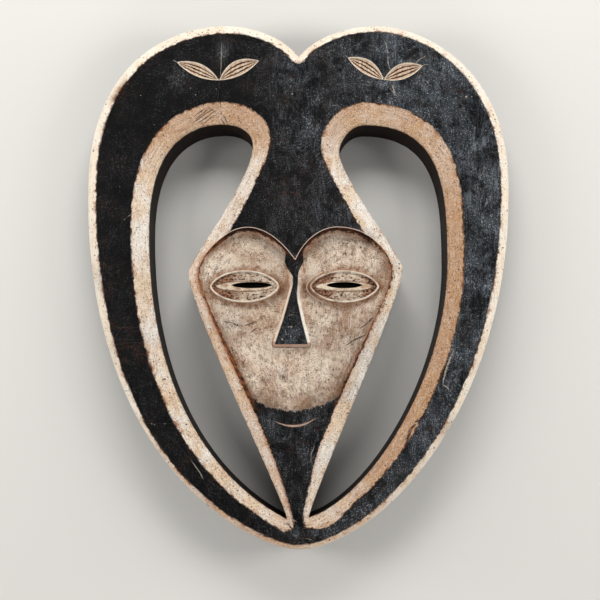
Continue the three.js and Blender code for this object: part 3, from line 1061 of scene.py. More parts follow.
mesh = bpy.data.meshes.new("carved_mask")
mesh.from_pydata((np.vstack(points) * MM).tolist(), [], faces)
mesh.polygons.foreach_set("material_index", finish)
table = np.vstack(columns)
for k, name in enumerate(NOTES):
    attribute = mesh.attributes.new(name, "FLOAT", "POINT")
    attribute.data.foreach_set("value", np.ascontiguousarray(table[:, k], dtype=np.float32))
mask = bpy.data.objects.new("carved_mask", mesh)
bpy.context.scene.collection.objects.link(mask)
print("before welding:", total, "points,", len(faces), "faces")

# %% Weld and shade
WELD = 0.02 * MM
SHARP_ANGLE = math.radians(62)

bm = bmesh.new()
bm.from_mesh(mesh)
before = len(bm.verts)
bmesh.ops.remove_doubles(bm, verts=bm.verts, dist=WELD)
open_edges = sum(1 for e in bm.edges if len(e.link_faces) != 2)
print("welded", before - len(bm.verts), "doubles; edges not between two faces:", open_edges)
bm.to_mesh(mesh)
bm.free()
mesh.shade_smooth()
mesh.set_sharp_from_angle(angle=SHARP_ANGLE)
print("mask:", len(mesh.vertices), "points,", len(mesh.polygons), "faces")

# %% [markdown]
# ## Helpers for shader nodes
#
# A shader tree is boxes joined by wires. A few small helpers keep the recipes short: one adds a
# node, one does arithmetic, one lays a colour over another through a mask, and so on. All of them
# work in the tree that was started last, so a recipe never has to name it.

# %% Colours, nodes and wires
def colour(text):
    """A screen colour, written as six hex digits, turned into Blender's linear values."""
    parts = [int(text[k:k + 2], 16) / 255 for k in (0, 2, 4)]
    return [v / 12.92 if v < 0.04045 else ((v + 0.055) / 1.055) ** 2.4 for v in parts] + [1.0]


def wire(value, socket):
    """Wires another node's output into a socket, or sets the socket to a plain value or colour."""
    if isinstance(value, bpy.types.NodeSocket):
        tree.links.new(value, socket)
    else:
        socket.default_value = colour(value) if isinstance(value, str) else value


def add(kind, inputs=None, **settings):
    """Adds a node with its inputs and settings."""
    made = tree.nodes.new(kind)
    for name, value in settings.items():
        setattr(made, name, value)
    for name, value in (inputs or {}).items():
        wire(value, made.inputs[name])
    return made


print("half-way grey on a screen is", round(colour("808080")[0], 2), "of the light of white")


# %% Arithmetic and masks
def calc(operation, a, b=0.0, c=0.0, clamp=False):
    """One arithmetic step; returns its output."""
    return add("ShaderNodeMath", {0: a, 1: b, 2: c}, operation=operation, use_clamp=clamp).outputs[0]


def times(*masks):
    """Masks multiplied together: only what all of them let through remains."""
    product = masks[0]
    for one in masks[1:]:
        product = calc("MULTIPLY", product, one)
    return product


def over(mask_value, under, top):
    """The top colour laid over the one under it, as much as the mask says."""
    return add("ShaderNodeMix", {0: mask_value, 6: under, 7: top}, data_type="RGBA").outputs[2]


def stretch(value, from_low, from_high, to_low=0.0, to_high=1.0):
    """Moves one range of values to another, and stops at its ends."""
    names = ("Value", "From Min", "From Max", "To Min", "To Max")
    ends = (value, from_low, from_high, to_low, to_high)
    return add("ShaderNodeMapRange", dict(zip(names, ends))).outputs[0]


# %% Where on the mask
def read(name):
    """The value that the mesh carries under that name."""
    return add("ShaderNodeAttribute", attribute_name=name).outputs["Fac"]


def here():
    """The place on the mask, in metres."""
    return add("ShaderNodeTexCoord").outputs["Object"]


def apart(vector):
    """The three numbers of a place."""
    return add("ShaderNodeSeparateXYZ", {0: vector}).outputs


def vector_math(operation, inputs):
    """One arithmetic step with places in place of numbers."""
    return add("ShaderNodeVectorMath", inputs, operation=operation).outputs[0]


def noise_at(size, detail=3.0, rough=0.5, squeeze=(1, 1, 1), shift=(0, 0, 0), distort=0.0):
    """Noise with lumps about that many millimetres across; squeeze stretches it along an axis."""
    turned = add("ShaderNodeMapping", {"Vector": here(), "Location": shift, "Scale": squeeze})
    made = add("ShaderNodeTexNoise", {
        "Vector": turned.outputs[0],
        "Scale": 1 / (size * MM),
        "Detail": detail,
        "Roughness": rough,
        "Distortion": distort,
    })
    return made.outputs["Fac"]


print("the mesh carries", len(NOTES), "notes that the shader can read")


# %% Groups and finishes
def group(name, inputs, outputs):
    """Starts a shader node group. Returns it, the values that come in and the sockets that go out."""
    global tree
    tree = bpy.data.node_groups.new(name, "ShaderNodeTree")
    for label, value in inputs.items():
        socket = tree.interface.new_socket(label, in_out="INPUT", socket_type="NodeSocketFloat")
        socket.default_value = value
    for label in outputs:
        tree.interface.new_socket(label, in_out="OUTPUT", socket_type="NodeSocketFloat")
    return tree, tree.nodes.new("NodeGroupInput").outputs, tree.nodes.new("NodeGroupOutput").inputs


def place(shared, **values):
    """Puts a shared group into the tree, with its own values for the inputs."""
    made = tree.nodes.new("ShaderNodeGroup")
    made.node_tree = shared
    for label, value in values.items():
        wire(value, made.inputs[label.replace("_", " ")])
    return made.outputs


def start_finish(name):
    """Starts a material. Returns it and the sockets of its shader."""
    global tree
    made = bpy.data.materials.new(name)
    made.use_nodes = True
    tree = made.node_tree
    return made, tree.nodes["Principled BSDF"].inputs


def count_nodes(what):
    """Prints how long the recipe has become."""
    print(what + ":", len(tree.nodes), "nodes")


print("helpers for groups and finishes are ready; groups so far:", len(bpy.data.node_groups))

# %% [markdown]
# ## Effects that are used again and again
#
# Each of these becomes a node group: a box with its own named inputs and outputs, made once and
# then placed wherever it is needed. None of them holds a colour.
#
# - **Fibres**: fine streaks along the plank's grain. Paint sinks between them and dust stays there.
# - **Ragged line**: noise of two sizes, for borders that no brush draws quite straight.
# - **Frayed edge**: turns a distance into a mask with a ragged, slightly feathered border. Every
#   border between two paints is this one effect with its own raggedness.
# - **Pits**: small round holes and specks of dirt, scattered by a Voronoi pattern.
# - **Scratches**: thin wandering lines, found where a stretched noise crosses its middle value.
# - **Brush**: streaks that run along an edge, as a brush does when it follows the edge.
# - **Stroke**: one knife mark between two places, with a little bend.

# %% Fibres
fibres, fibres_in, fibres_out = group("fibres", {"Contrast": 1.0}, ("Streaks", "Height"))
long_streaks = noise_at(2.2, 4, 0.7, squeeze=(1, 0.07, 0.35))
short_streaks = noise_at(1.0, 3, 0.65, squeeze=(1, 0.16, 0.5), shift=(0.3, 0.1, 0))
both = calc("MULTIPLY_ADD", short_streaks, 0.4, calc("MULTIPLY", long_streaks, 0.6))
centred = calc("MULTIPLY", calc("SUBTRACT", both, 0.5), fibres_in["Contrast"])
wire(calc("MULTIPLY_ADD", centred, 3.4, 0.5, clamp=True), fibres_out["Streaks"])
wire(both, fibres_out["Height"])
count_nodes("fibres")

# %% Ragged line and frayed edge
ragged, _, ragged_out = group("ragged line", {}, ("Line",))
rough_line = calc("SUBTRACT", noise_at(5, 4, 0.7), 0.5)
fine_line = calc("SUBTRACT", noise_at(1.9, 3, 0.65, squeeze=(1, 0.6, 1)), 0.5)
wire(calc("MULTIPLY_ADD", fine_line, 0.55, rough_line), ragged_out["Line"])

frayed, frayed_in, frayed_out = group(
    "frayed edge", {"Distance": 0.0, "Line": 0.0, "Raggedness": 1.0, "Feather": 0.4}, ("Mask",))
SWAY = 4.0
sway = calc("MULTIPLY", frayed_in["Raggedness"], SWAY)
moved = calc("MULTIPLY_ADD", frayed_in["Line"], sway, frayed_in["Distance"])
shaded = calc("DIVIDE", moved, frayed_in["Feather"])
wire(calc("ADD", shaded, 0.5, clamp=True), frayed_out["Mask"])
count_nodes("frayed edge")

# %% Pits
pits, pits_in, pits_out = group("pits", {"Spacing": 6.0, "Size": 0.12, "Share": 0.5}, ("Mask",))
pit_scale = calc("DIVIDE", 1 / MM, pits_in["Spacing"])
pit_where = here()
PIT_BEND = 1.6 * MM
pit_bend = add("ShaderNodeTexNoise", {"Vector": pit_where, "Scale": 1 / PIT_BEND, "Detail": 2.0})
pit_bend = vector_math("SUBTRACT", {0: pit_bend.outputs["Color"], 1: (0.5, 0.5, 0.5)})
pit_bend = vector_math("SCALE", {0: pit_bend, "Scale": PIT_BEND})
pit_where = vector_math("ADD", {0: pit_where, 1: pit_bend})
pit_cells = add("ShaderNodeTexVoronoi", {"Vector": pit_where, "Scale": pit_scale})
pit_kind = add("ShaderNodeSeparateColor", {0: pit_cells.outputs["Color"]}).outputs
pit_radius = calc("MULTIPLY", pits_in["Size"], calc("ADD", pit_kind[1], 0.4))
pit_edge = calc("SUBTRACT", pit_radius, pit_cells.outputs["Distance"])
pit_mask = calc("MULTIPLY", pit_edge, 20.0, clamp=True)
pit_there = calc("LESS_THAN", pit_kind[0], pits_in["Share"])
wire(calc("MULTIPLY", pit_mask, pit_there), pits_out["Mask"])
count_nodes("pits")

# %% Scratches
scratches, scratches_in, scratches_out = group(
    "scratches", {"Thickness": 0.006, "Share": 0.5, "Shift": 0.0}, ("Mask",))
SCRATCH_LENGTH = 9 * MM
STRETCHED = (1, 0.14, 1)
where = here()
shift_by = add("ShaderNodeCombineXYZ", {"X": scratches_in["Shift"], "Y": scratches_in["Shift"]})
where = vector_math("ADD", {0: where, 1: shift_by.outputs[0]})
lines = []
for turn, seed in ((0.5, 0.0), (-0.8, 0.7), (1.35, 1.9)):
    turned = add("ShaderNodeMapping", {
        "Vector": where,
        "Location": (seed, seed, 0),
        "Rotation": (0, 0, turn),
        "Scale": STRETCHED,
    })
    wander = add("ShaderNodeTexNoise", {
        "Vector": turned.outputs[0],
        "Scale": 1 / SCRATCH_LENGTH,
        "Detail": 1.0,
        "Distortion": 0.3,
    })
    off_middle = calc("ABSOLUTE", calc("SUBTRACT", wander.outputs["Fac"], 0.5))
    line = calc("SUBTRACT", 1.0, calc("DIVIDE", off_middle, scratches_in["Thickness"]), clamp=True)
    in_places = noise_at(14, 2, 0.6, shift=(seed, 0.2, seed))
    limit = calc("SUBTRACT", 1.0, calc("MULTIPLY", scratches_in["Share"], 0.8))
    lines.append(calc("MULTIPLY", line, calc("GREATER_THAN", in_places, limit)))
any_line = calc("MAXIMUM", calc("MAXIMUM", lines[0], lines[1]), lines[2])
wire(any_line, scratches_out["Mask"])
count_nodes("scratches")

# %% Brush
brush, brush_in, brush_out = group("brush", {"Distance": 0.0}, ("Streaks",))
ALONG = 0.09
brush_xyz = apart(here())
slow_x, slow_y = (calc("MULTIPLY", brush_xyz[k], ALONG / MM) for k in (0, 1))
brush_where = add("ShaderNodeCombineXYZ", {"X": brush_in["Distance"], "Y": slow_x, "Z": slow_y})
brush_noise = add("ShaderNodeTexNoise", {
    "Vector": brush_where.outputs[0],
    "Scale": 0.62,
    "Detail": 4.0,
    "Roughness": 0.65,
})
wire(brush_noise.outputs["Fac"], brush_out["Streaks"])
count_nodes("brush")

# %% Stroke
STROKE_FEATHER = 0.35
STROKE_SWAY = 1.7
stroke, stroke_in, stroke_out = group(
    "stroke",
    {"From X": 0.0, "From Y": 0.0, "To X": 1.0, "To Y": 0.0, "Bend": 0.0, "Width": 0.5, "Line": 0.0},
    ("Mask",))
stroke_xyz = apart(here())
px, py = (calc("MULTIPLY", stroke_xyz[k], 1 / MM) for k in (0, 1))
dx = calc("SUBTRACT", stroke_in["To X"], stroke_in["From X"])
dy = calc("SUBTRACT", stroke_in["To Y"], stroke_in["From Y"])
square = calc("MULTIPLY_ADD", dx, dx, calc("MULTIPLY", dy, dy))
rx = calc("SUBTRACT", px, stroke_in["From X"])
ry = calc("SUBTRACT", py, stroke_in["From Y"])
dot = calc("MULTIPLY_ADD", rx, dx, calc("MULTIPLY", ry, dy))
run = calc("DIVIDE", dot, square)
cross = calc("SUBTRACT", calc("MULTIPLY", dx, ry), calc("MULTIPLY", dy, rx))
aside = calc("DIVIDE", cross, calc("SQRT", square))
belly = calc("MULTIPLY", calc("MULTIPLY", run, calc("SUBTRACT", 1.0, run)), 4)
aside = calc("MULTIPLY_ADD", calc("MULTIPLY", belly, stroke_in["Bend"]), -1, aside)
aside = calc("ABSOLUTE", calc("MULTIPLY_ADD", stroke_in["Line"], STROKE_SWAY, aside))
swell = calc("MULTIPLY", stroke_in["Width"], calc("SQRT", calc("MAXIMUM", belly, 0.0)))
cut = calc("DIVIDE", calc("SUBTRACT", swell, aside), STROKE_FEATHER)
wire(calc("ADD", cut, 0.3, clamp=True), stroke_out["Mask"])
count_nodes("stroke")
print("effects:", [g.name for g in bpy.data.node_groups])

# %% [markdown]
# ## The painted front
#
# The finish is built from the wood outward, as it was on the real mask: warm bare wood, a thin black
# stain with dust in its grain, then chalky white on the bevels, bands and cheeks, and the brown of
# handling wherever two colours meet. Over that lie painted sheen on the black, painted shade in
# creases and under edges, and painted highlights on ridges and rims.

# %% Unevenness of the painted front
front, surface = start_finish("painted front")
grain = place(fibres, Contrast=1.0)
blotch = noise_at(26, 4, 0.6)
cloud = noise_at(17, 6, 0.74, squeeze=(1, 0.8, 1), shift=(0.9, 0.3, 0), distort=0.6)
mottle = noise_at(6, 4, 0.65, shift=(0.2, 0.4, 0))
smear = noise_at(5, 4, 0.7, squeeze=(0.5, 1, 1), shift=(0.5, 0.9, 0))
speckle = noise_at(1.6, 3, 0.7, shift=(0.6, 0.1, 0))
sparks = noise_at(1.15, 1, 0.5, shift=(0.1, 0.8, 0))
unsteady = place(ragged)["Line"]
count_nodes("noise of the front")

# %% Black over wood
# The black's bluish-grey haze, specks and glints are painted sheen mixed with grey dust, both growing
# toward the right and in the chalk patches.
dust_and_sheen = calc("MULTIPLY_ADD", read("dust_and_sheen"), 0.94, 0.06)
dust_and_sheen = calc("ADD", dust_and_sheen, read("chalk_and_sheen"), clamp=True)
black = over(stretch(blotch, 0.4, 0.65), "020203", "090807")
haze = times(stretch(cloud, 0.41, 0.66, 0, 0.74), dust_and_sheen)
dust_and_sheen_colour = over(dust_and_sheen, "453c38", "454b51")
black = over(haze, black, dust_and_sheen_colour)
streaks = times(stretch(grain["Streaks"], 0.58, 0.95, 0, 0.42), dust_and_sheen)
black = over(streaks, black, dust_and_sheen_colour)
cloudy = stretch(cloud, 0.42, 0.6, 0.15, 1.0)
# Painted sheen specks and painted glints on the black.
sheen_specks = times(stretch(speckle, 0.55, 0.7, 0, 0.55), cloudy, dust_and_sheen)
black = over(sheen_specks, black, "565b61")
glints = times(stretch(sparks, 0.6, 0.68), cloudy, calc("MULTIPLY_ADD", dust_and_sheen, 0.9, 0.1))
black = over(glints, black, "969a9c")
hairs = place(scratches, Thickness=0.012, Share=0.9, Shift=0.61)["Mask"]
black = over(times(hairs, cloudy, dust_and_sheen, 0.5), black, "7f848a")
grains = place(pits, Spacing=7.0, Size=0.07, Share=0.4)["Mask"]
black = over(times(grains, 0.8), black, "bdb9b3")
worn_off = calc("MULTIPLY_ADD", stretch(blotch, 0.5, 0.62), 0.3, read("smudge"), clamp=True)
rubbed = times(stretch(smear, 0.5, 0.62, 0, 0.85), worn_off)
black = over(rubbed, black, over(stretch(speckle, 0.45, 0.6), "2b1a13", "5b3a28"))
count_nodes("with the black")

# %% [markdown]
# ### Where the white paint lies
#
# White was painted on the rim, on the bands beside the openings and on the cheeks. The nose stays
# black, and its black runs up between the eyes to the forehead in the shape of a Y.

# %% Borders of the white paint
rim, gap = read("rim"), read("gap")
rim_line, band_line = read("rim_line"), read("band_line")
face_in, groove, chin_line = read("face"), read("groove"), read("chin_line")
nose_in, eye_in, lips_in = read("nose"), read("eye"), read("lips")
leaf_in, vein = read("leaf"), read("vein")
mouth_in, lip, worn = read("mouth"), read("lip"), read("worn")
outside = calc("LESS_THAN", face_in, 0.0)
inside = calc("SUBTRACT", 1.0, outside)


def below(line, raggedness, feather):
    """Mask of the places where a distance is under zero, with a frayed border."""
    return place(frayed, Distance=calc("MULTIPLY", line, -1.0), Line=unsteady,
                 Raggedness=raggedness, Feather=feather)["Mask"]


def above(line, level, raggedness, feather):
    """Mask of the places where a distance is over a level, with a frayed border."""
    return place(frayed, Distance=calc("SUBTRACT", line, level), Line=unsteady,
                 Raggedness=raggedness, Feather=feather)["Mask"]


def between(line, start, stop, soft=0.5):
    """Mask of a strip: one from start to stop of a distance, fading over the soft width outside."""
    rise = stretch(line, start - soft, start)
    fall = stretch(line, stop + soft, stop)
    return times(rise, fall)


NOSE_BLACK = -0.8
RIM_RAGGED = 0.45
band_ragged = calc("MULTIPLY_ADD", worn, 0.45, 0.6)
on_rim = below(rim_line, RIM_RAGGED, 0.5)
on_band = below(band_line, band_ragged, 0.5)
in_dish = above(face_in, groove, 1.2, 0.5)
above_chin = above(chin_line, 0.0, 1.8, 2.5)
across_x = apart(here())[0]
# Toward the forehead the black of the nose widens, in millimetres: steadily on the left, and
# later on the right.
LEFT_WIDENING = 8.0
RIGHT_WIDENING = 5.5
root = stretch(chin_line, 132.0, 147.0)
left_root = times(root, LEFT_WIDENING)
right_root = times(root, root, RIGHT_WIDENING)
right_part = stretch(across_x, -4.0 * MM, -2.0 * MM)
root_change = calc("SUBTRACT", right_root, left_root)
root_width = calc("MULTIPLY_ADD", right_part, root_change, left_root)
past_nose = calc("SUBTRACT", calc("ADD", nose_in, root_width), NOSE_BLACK)
off_nose = below(past_nose, 0.15, 0.6)
cheeks = times(in_dish, above_chin, off_nose)
edges_white = times(calc("MAXIMUM", on_rim, on_band), outside)
white_mask = calc("MAXIMUM", edges_white, cheeks)
count_nodes("with the borders")

# %% [markdown]
# ### The white paint itself
#
# The white is chalk in a thin binder, so the brush leaves streaks and the ground shows through.
# On the bands it is warm cream, browner where hands held the horns. On the cheeks it is greyer.

# %% Cream of the rim and bands
nearest_edge = calc("MINIMUM", rim, gap)
brushed = place(brush, Distance=nearest_edge)["Streaks"]
cream = over(stretch(blotch, 0.42, 0.6), "f7efe3", "edd3b4")
strip = times(between(face_in, -15.0, 0.0), outside, stretch(chin_line, 120.0, 90.0))
on_left = stretch(read("dust_and_sheen"), 0.5, 0.2, 0.0, 1.0)
patchy = times(stretch(cloud, 0.5, 0.6, 0, 0.4), outside, calc("MULTIPLY_ADD", strip, -0.8, 1.0))
cream = over(patchy, cream, "cf9d74")
cream = over(times(strip, on_left, stretch(smear, 0.35, 0.6, 0.2, 0.6)), cream, "d6a478")
cream = over(stretch(worn, 0.0, 1.0, 0, 0.88), cream, "bd8e63")
calm = calc("MULTIPLY_ADD", on_rim, -0.75, 1.0)
dark_streaks = times(stretch(brushed, 0.53, 0.67, 0, 0.6), calm)
cream = over(dark_streaks, cream, over(worn, "c4a382", "9c6d47"))
pale_streaks = times(stretch(brushed, 0.44, 0.34, 0, 0.45), stretch(worn, 0.2, 1.0, 1.0, 0.4))
cream = over(pale_streaks, cream, "fbf4ea")
clean_rim = times(on_rim, stretch(worn, 0.0, 0.5, 0.6, 0.1))
cream = over(clean_rim, cream, "f9ecd7")
cream = over(times(stretch(sparks, 0.57, 0.67, 0, 0.6), calm), cream, "8c6544")
cream = over(stretch(speckle, 0.54, 0.66, 0, 0.45), cream, "fbf4ea")
count_nodes("with the cream")

# %% Ashen white of the cheeks
fresh = read("fresh")
ashen = over(stretch(blotch, 0.36, 0.6), "f2dfc8", "b8957a")
ashen = over(fresh, ashen, "f6e8d4")
stained_here = times(stretch(mottle, 0.5, 0.62, 0, 0.75), calc("MULTIPLY_ADD", fresh, -0.7, 1.0))
ashen = over(stained_here, ashen, "84654e")
cheek_strokes = place(brush, Distance=face_in)["Streaks"]
ashen = over(stretch(cheek_strokes, 0.55, 0.68, 0, 0.45), ashen, "866a57")
ashen = over(stretch(cheek_strokes, 0.44, 0.32, 0, 0.6), ashen, "fbf0df")
ashen = over(stretch(speckle, 0.52, 0.66, 0, 0.8), ashen, "f1e1cc")
ashen = over(stretch(sparks, 0.6, 0.7, 0, 0.4), ashen, "654d3e")
ashen = over(times(hairs, stretch(smear, 0.4, 0.55), 0.5), ashen, "6c5242")
count_nodes("with the cheeks")

# %% Dirt, pits and scratches in the white
white = over(cheeks, cream, ashen)
smeared = times(read("smudge"), stretch(speckle, 0.35, 0.6, 0.35, 1.3))
white = over(smeared, white, "6a4c38")
specks = times(stretch(sparks, 0.42, 0.33, 0, 0.8), stretch(cloud, 0.4, 0.55, 0.3, 1.0), calm)
white = over(specks, white, "5a3f2c")
lumps = stretch(mottle, 0.4, 0.56)
small_pits = place(pits, Spacing=2.2, Size=0.26, Share=0.55)["Mask"]
big_pits = place(pits, Spacing=5.5, Size=0.14, Share=0.45)["Mask"]
spots = calc("MAXIMUM", times(small_pits, lumps), big_pits)
white = over(times(spots, 0.85), white, "24150e")
fine_scratches = place(scratches, Thickness=0.006, Share=0.5)["Mask"]
white = over(times(fine_scratches, 0.55), white, "5f3f2b")
pale_scratches = place(scratches, Thickness=0.008, Share=0.7, Shift=0.37)["Mask"]
white = over(times(pale_scratches, stretch(worn, 0.0, 1.0, 0.4, 0.15)), white, "f6eee3")
count_nodes("with the dirt")

# %% [markdown]
# ### Brown stains, painted shade and highlights
#
# Oil and smoke crept in where white meets black and where the wood turns a corner. Inside the face
# the walls under the brows and the flanks of the nose get painted shade mixed with brown stain, the
# cheeks above the chin get painted shade, the foot of the wall is darker brown, and the brows'
# worn ridge gets a painted highlight. All of these are distances with a soft, blotchy end.

# %% Stains where white meets black and where it meets the edges
mostly_left = calc("MULTIPLY_ADD", on_left, 0.65, 0.35)
from_rim = calc("SUBTRACT", calc("MULTIPLY", unsteady, SWAY * RIM_RAGGED), rim_line)
band_sway = calc("MULTIPLY", band_ragged, SWAY)
from_band = calc("SUBTRACT", calc("MULTIPLY", unsteady, band_sway), band_line)
near_edge = calc("MAXIMUM", from_rim, from_band)
stray = calc("SUBTRACT", mottle, 0.5)
bleed = stretch(calc("MULTIPLY_ADD", stray, 20.0, near_edge), 3.0, -0.6, 0, 0.75)
bleed = times(bleed, stretch(cloud, 0.42, 0.54, 0.15, 1.0))
on_strip = times(between(face_in, -15.0, 0.0), stretch(chin_line, 10.0, -10.0, 0, 0.7))
bleed = times(bleed, outside, calc("SUBTRACT", 1.0, on_strip))
white = over(bleed, white, "a5673c")
seam = stretch(calc("MULTIPLY_ADD", stray, 5.0, near_edge), 1.5, 0.5)
seam = times(seam, outside, stretch(blotch, 0.38, 0.52, 0.35, 0.95))
white = over(seam, white, over(worn, "24120a", "33190c"))
at_corner = calc("MULTIPLY_ADD", stray, 10.0, gap)
white = over(stretch(at_corner, 0.6, -0.4, 0, 0.5), white, "7d4d2c")
beside_face = stretch(calc("MULTIPLY_ADD", stray, 9.0, face_in), -4.0, -0.3, 0, 0.75)
beside_face = times(beside_face, mostly_left, strip)
white = over(beside_face, white, "a2633a")
painted = over(white_mask, black, white)
count_nodes("with the stains")

# %% Brown under the brows and above the mouth
not_chin = stretch(chin_line, -12.0, 8.0)
wall_top = calc("MULTIPLY_ADD", unsteady, 6.5, calc("SUBTRACT", face_in, groove))
# The wall under the brows gets near-black painted shade with stain; along the jaws the wall is a lighter
# brown.
in_wall = times(inside, not_chin, stretch(wall_top, 0.8, -0.4))
brow_wall_shade_and_stain = over(stretch(smear, 0.46, 0.62), "100705", "5a2c16")
jaw_brown = over(stretch(smear, 0.4, 0.58), "26120a", "945a34")
wall_shade_and_stain = over(stretch(chin_line, 100.0, 135.0), jaw_brown, brow_wall_shade_and_stain)
painted = over(in_wall, painted, wall_shade_and_stain)
wall_foot = stretch(calc("MULTIPLY_ADD", stray, 16.0, wall_top), 5.0, 0.0, 0, 0.6)
painted = over(times(wall_foot, cheeks, 0.9), painted, "8c5632")
# A pale line on the brows' ridge: painted highlight on the worn edge.
high_up = stretch(chin_line, 92.0, 112.0)
brow_ridge_highlight_and_wear = times(between(face_in, -1.0, -0.6, 0.3), high_up)
brow_ridge_highlight_and_wear = times(brow_ridge_highlight_and_wear, stretch(speckle, 0.28, 0.5, 0.4, 0.95))
painted = over(brow_ridge_highlight_and_wear, painted, "dcc2b0")
# Painted shade with brown stain beside the nose, between it and the lids.
flank_shade_and_stain = times(between(nose_in, -7.5, -6.0, 4.0), cheeks, stretch(chin_line, 90.0, 125.0))
painted = over(times(flank_shade_and_stain, stretch(mottle, 0.35, 0.6, 0.2, 0.65)), painted, "9c6640")
# Painted shade on the cheeks just above the black chin.
above_mouth_shade = times(stretch(chin_line, 18.0, 0.0), cheeks, stretch(mottle, 0.36, 0.56, 0.15, 0.8))
painted = over(above_mouth_shade, painted, "755a46")
count_nodes("with the brows")

# %% [markdown]
# ### Eyes, nose, leaves and mouth
#
# Thin rims catch the light and hollows keep the dirt. So each small form gets a pale line on its
# edge, a painted highlight on the lids, the nose and the mouth, and brown inside; round the lids'
# foot, beside and under the nose lies painted shade. The leaves were cut through the paint into the
# bare wood.

# %% Eyes
# Painted shade with brown stain round the foot of the lids.
eye_foot_shade_and_stain = times(stretch(eye_in, -7.5, -1.0), stretch(eye_in, 0.6, 0.0))
eye_foot_shade_and_stain = times(eye_foot_shade_and_stain, stretch(mottle, 0.3, 0.6, 0.35, 0.85))
painted = over(eye_foot_shade_and_stain, painted, "8a5a38")
lid = times(stretch(eye_in, 1.2, 2.0), stretch(lips_in, -0.2, -1.2))
painted = over(times(lid, 0.7), painted, "e4d3bc")
lid_patch = stretch(mottle, 0.42, 0.58, 0, 0.45)
lid_stain = times(lid, calc("ADD", lid_patch, read("lid_red"), clamp=True), 0.85)
lid_brown = over(stretch(speckle, 0.4, 0.6), "b0744b", "66331d")
painted = over(lid_stain, painted, lid_brown)
crackle = noise_at(1.7, 3, 0.8, squeeze=(0.55, 1, 1), shift=(0.2, 0.2, 0))
cracked = calc("MULTIPLY_ADD", read("lid_red"), 0.045, crackle)
lid_pits = times(lid, stretch(cracked, 0.52, 0.6), stretch(mottle, 0.36, 0.5, 0.3, 1.0))
painted = over(lid_pits, painted, "190d08")
# Painted highlight on the lids' rims; weaker on the right lid, weakest at its inner end.
eye_rim_highlight = times(between(eye_in, 0.0, 1.1, 0.4), stretch(speckle, 0.3, 0.5, 0.55, 1.0))
eye_rim_highlight = times(eye_rim_highlight, stretch(smear, 0.6, 0.45, 0.45, 1.0))
lip_shadow = times(between(lips_in, -0.9, -0.2), stretch(smear, 0.36, 0.56, 0.2, 0.8))
painted = over(lip_shadow, painted, "5b3824")
right_eye = calc("GREATER_THAN", across_x, FACE_X * MM)
rim_fade = stretch(across_x, 16.0 * MM, 46.0 * MM, -0.75, -0.15)
eye_rim_highlight = times(eye_rim_highlight, calc("MULTIPLY_ADD", right_eye, rim_fade, 1.0))
lens = over(stretch(smear, 0.42, 0.6), "e6d4ba", "a98463")
painted = over(stretch(lips_in, 0.2, 1.0, 0, 0.7), painted, lens)
painted = over(eye_rim_highlight, painted, "f5e9d7")
inner_end = times(right_eye, calc("LESS_THAN", across_x, 24.0 * MM))
painted = over(times(between(eye_in, -3.6, -2.8), inner_end, 0.7), painted, "e6cfb4")
painted = over(times(between(eye_in, -2.0, -1.2), inner_end, 0.5), painted, "6f472e")
count_nodes("with the eyes")

# %% The nose's edges
right_side = calc("GREATER_THAN", across_x, -6.5 * MM)
low_down = stretch(chin_line, 134.0, 117.0)
# Painted highlights on the edges of the nose's ridge, whiter on the right and fading toward the top.
left_nose_highlight = times(between(nose_in, -2.6, -0.9, 0.6), calc("SUBTRACT", 1.0, right_side))
right_nose_highlight = times(between(nose_in, -3.2, -0.9, 0.7), right_side)
right_nose_highlight = times(right_nose_highlight, stretch(chin_line, 122.0, 98.0, 0.35, 1.0))
nose_highlight = times(calc("ADD", left_nose_highlight, right_nose_highlight), inside, low_down)
nose_highlight = times(nose_highlight, stretch(speckle, 0.3, 0.5, 0.6, 1.0))
painted = over(nose_highlight, painted, over(right_side, "ecd5c0", "fbf3e6"))
under_tip = stretch(chin_line, 65.2, 64.4)
painted = over(times(between(nose_in, -2.1, -0.8), under_tip, 0.9), painted, "bd8d72")
# Painted shadow: a dark line just under the nose's tip.
painted = over(times(between(nose_in, -3.5, -2.7), under_tip, 0.8), painted, "50301f")
count_nodes("with the nose")

# %% Leaves and mouth
on_leaf = above(leaf_in, 0.0, 0.2, 0.4)
stray_vein = calc("SUBTRACT", smear, 0.5)
unsure = calc("MULTIPLY_ADD", unsteady, 0.16, vein)
vein_wave = calc("COSINE", calc("MULTIPLY", unsure, VEINS * 2 * math.pi))
vein_wave = calc("MULTIPLY_ADD", stray_vein, 1.9, vein_wave)
vein_line = stretch(vein_wave, 0.05, 0.6)
leaf_wood = over(grain["Streaks"], "a57c5c", "e9d3ba")
leaf_wood = over(vein_line, leaf_wood, "180c07")
leaf_wood = over(stretch(leaf_in, 1.2, 0.7, 0, 0.9), leaf_wood, "f6e6d0")
painted = over(on_leaf, painted, leaf_wood)
# Painted highlight on the mouth's lower lip, with some wear.
lip_highlight_and_wear = times(stretch(mouth_in, -0.5, 0.1), stretch(lip, 0.62, 0.4))
painted = over(lip_highlight_and_wear, painted, "b99a88")
count_nodes("with leaves and mouth")

# %% [markdown]
# ### Single marks
#
# The deepest cuts and scratches are few, and an eye that knows the mask looks for them in their
# places. Light ones went through the black stain, dark ones hold dirt in the white. On the right
# band, one chip's edge is a painted highlight with a painted shadow beside it.

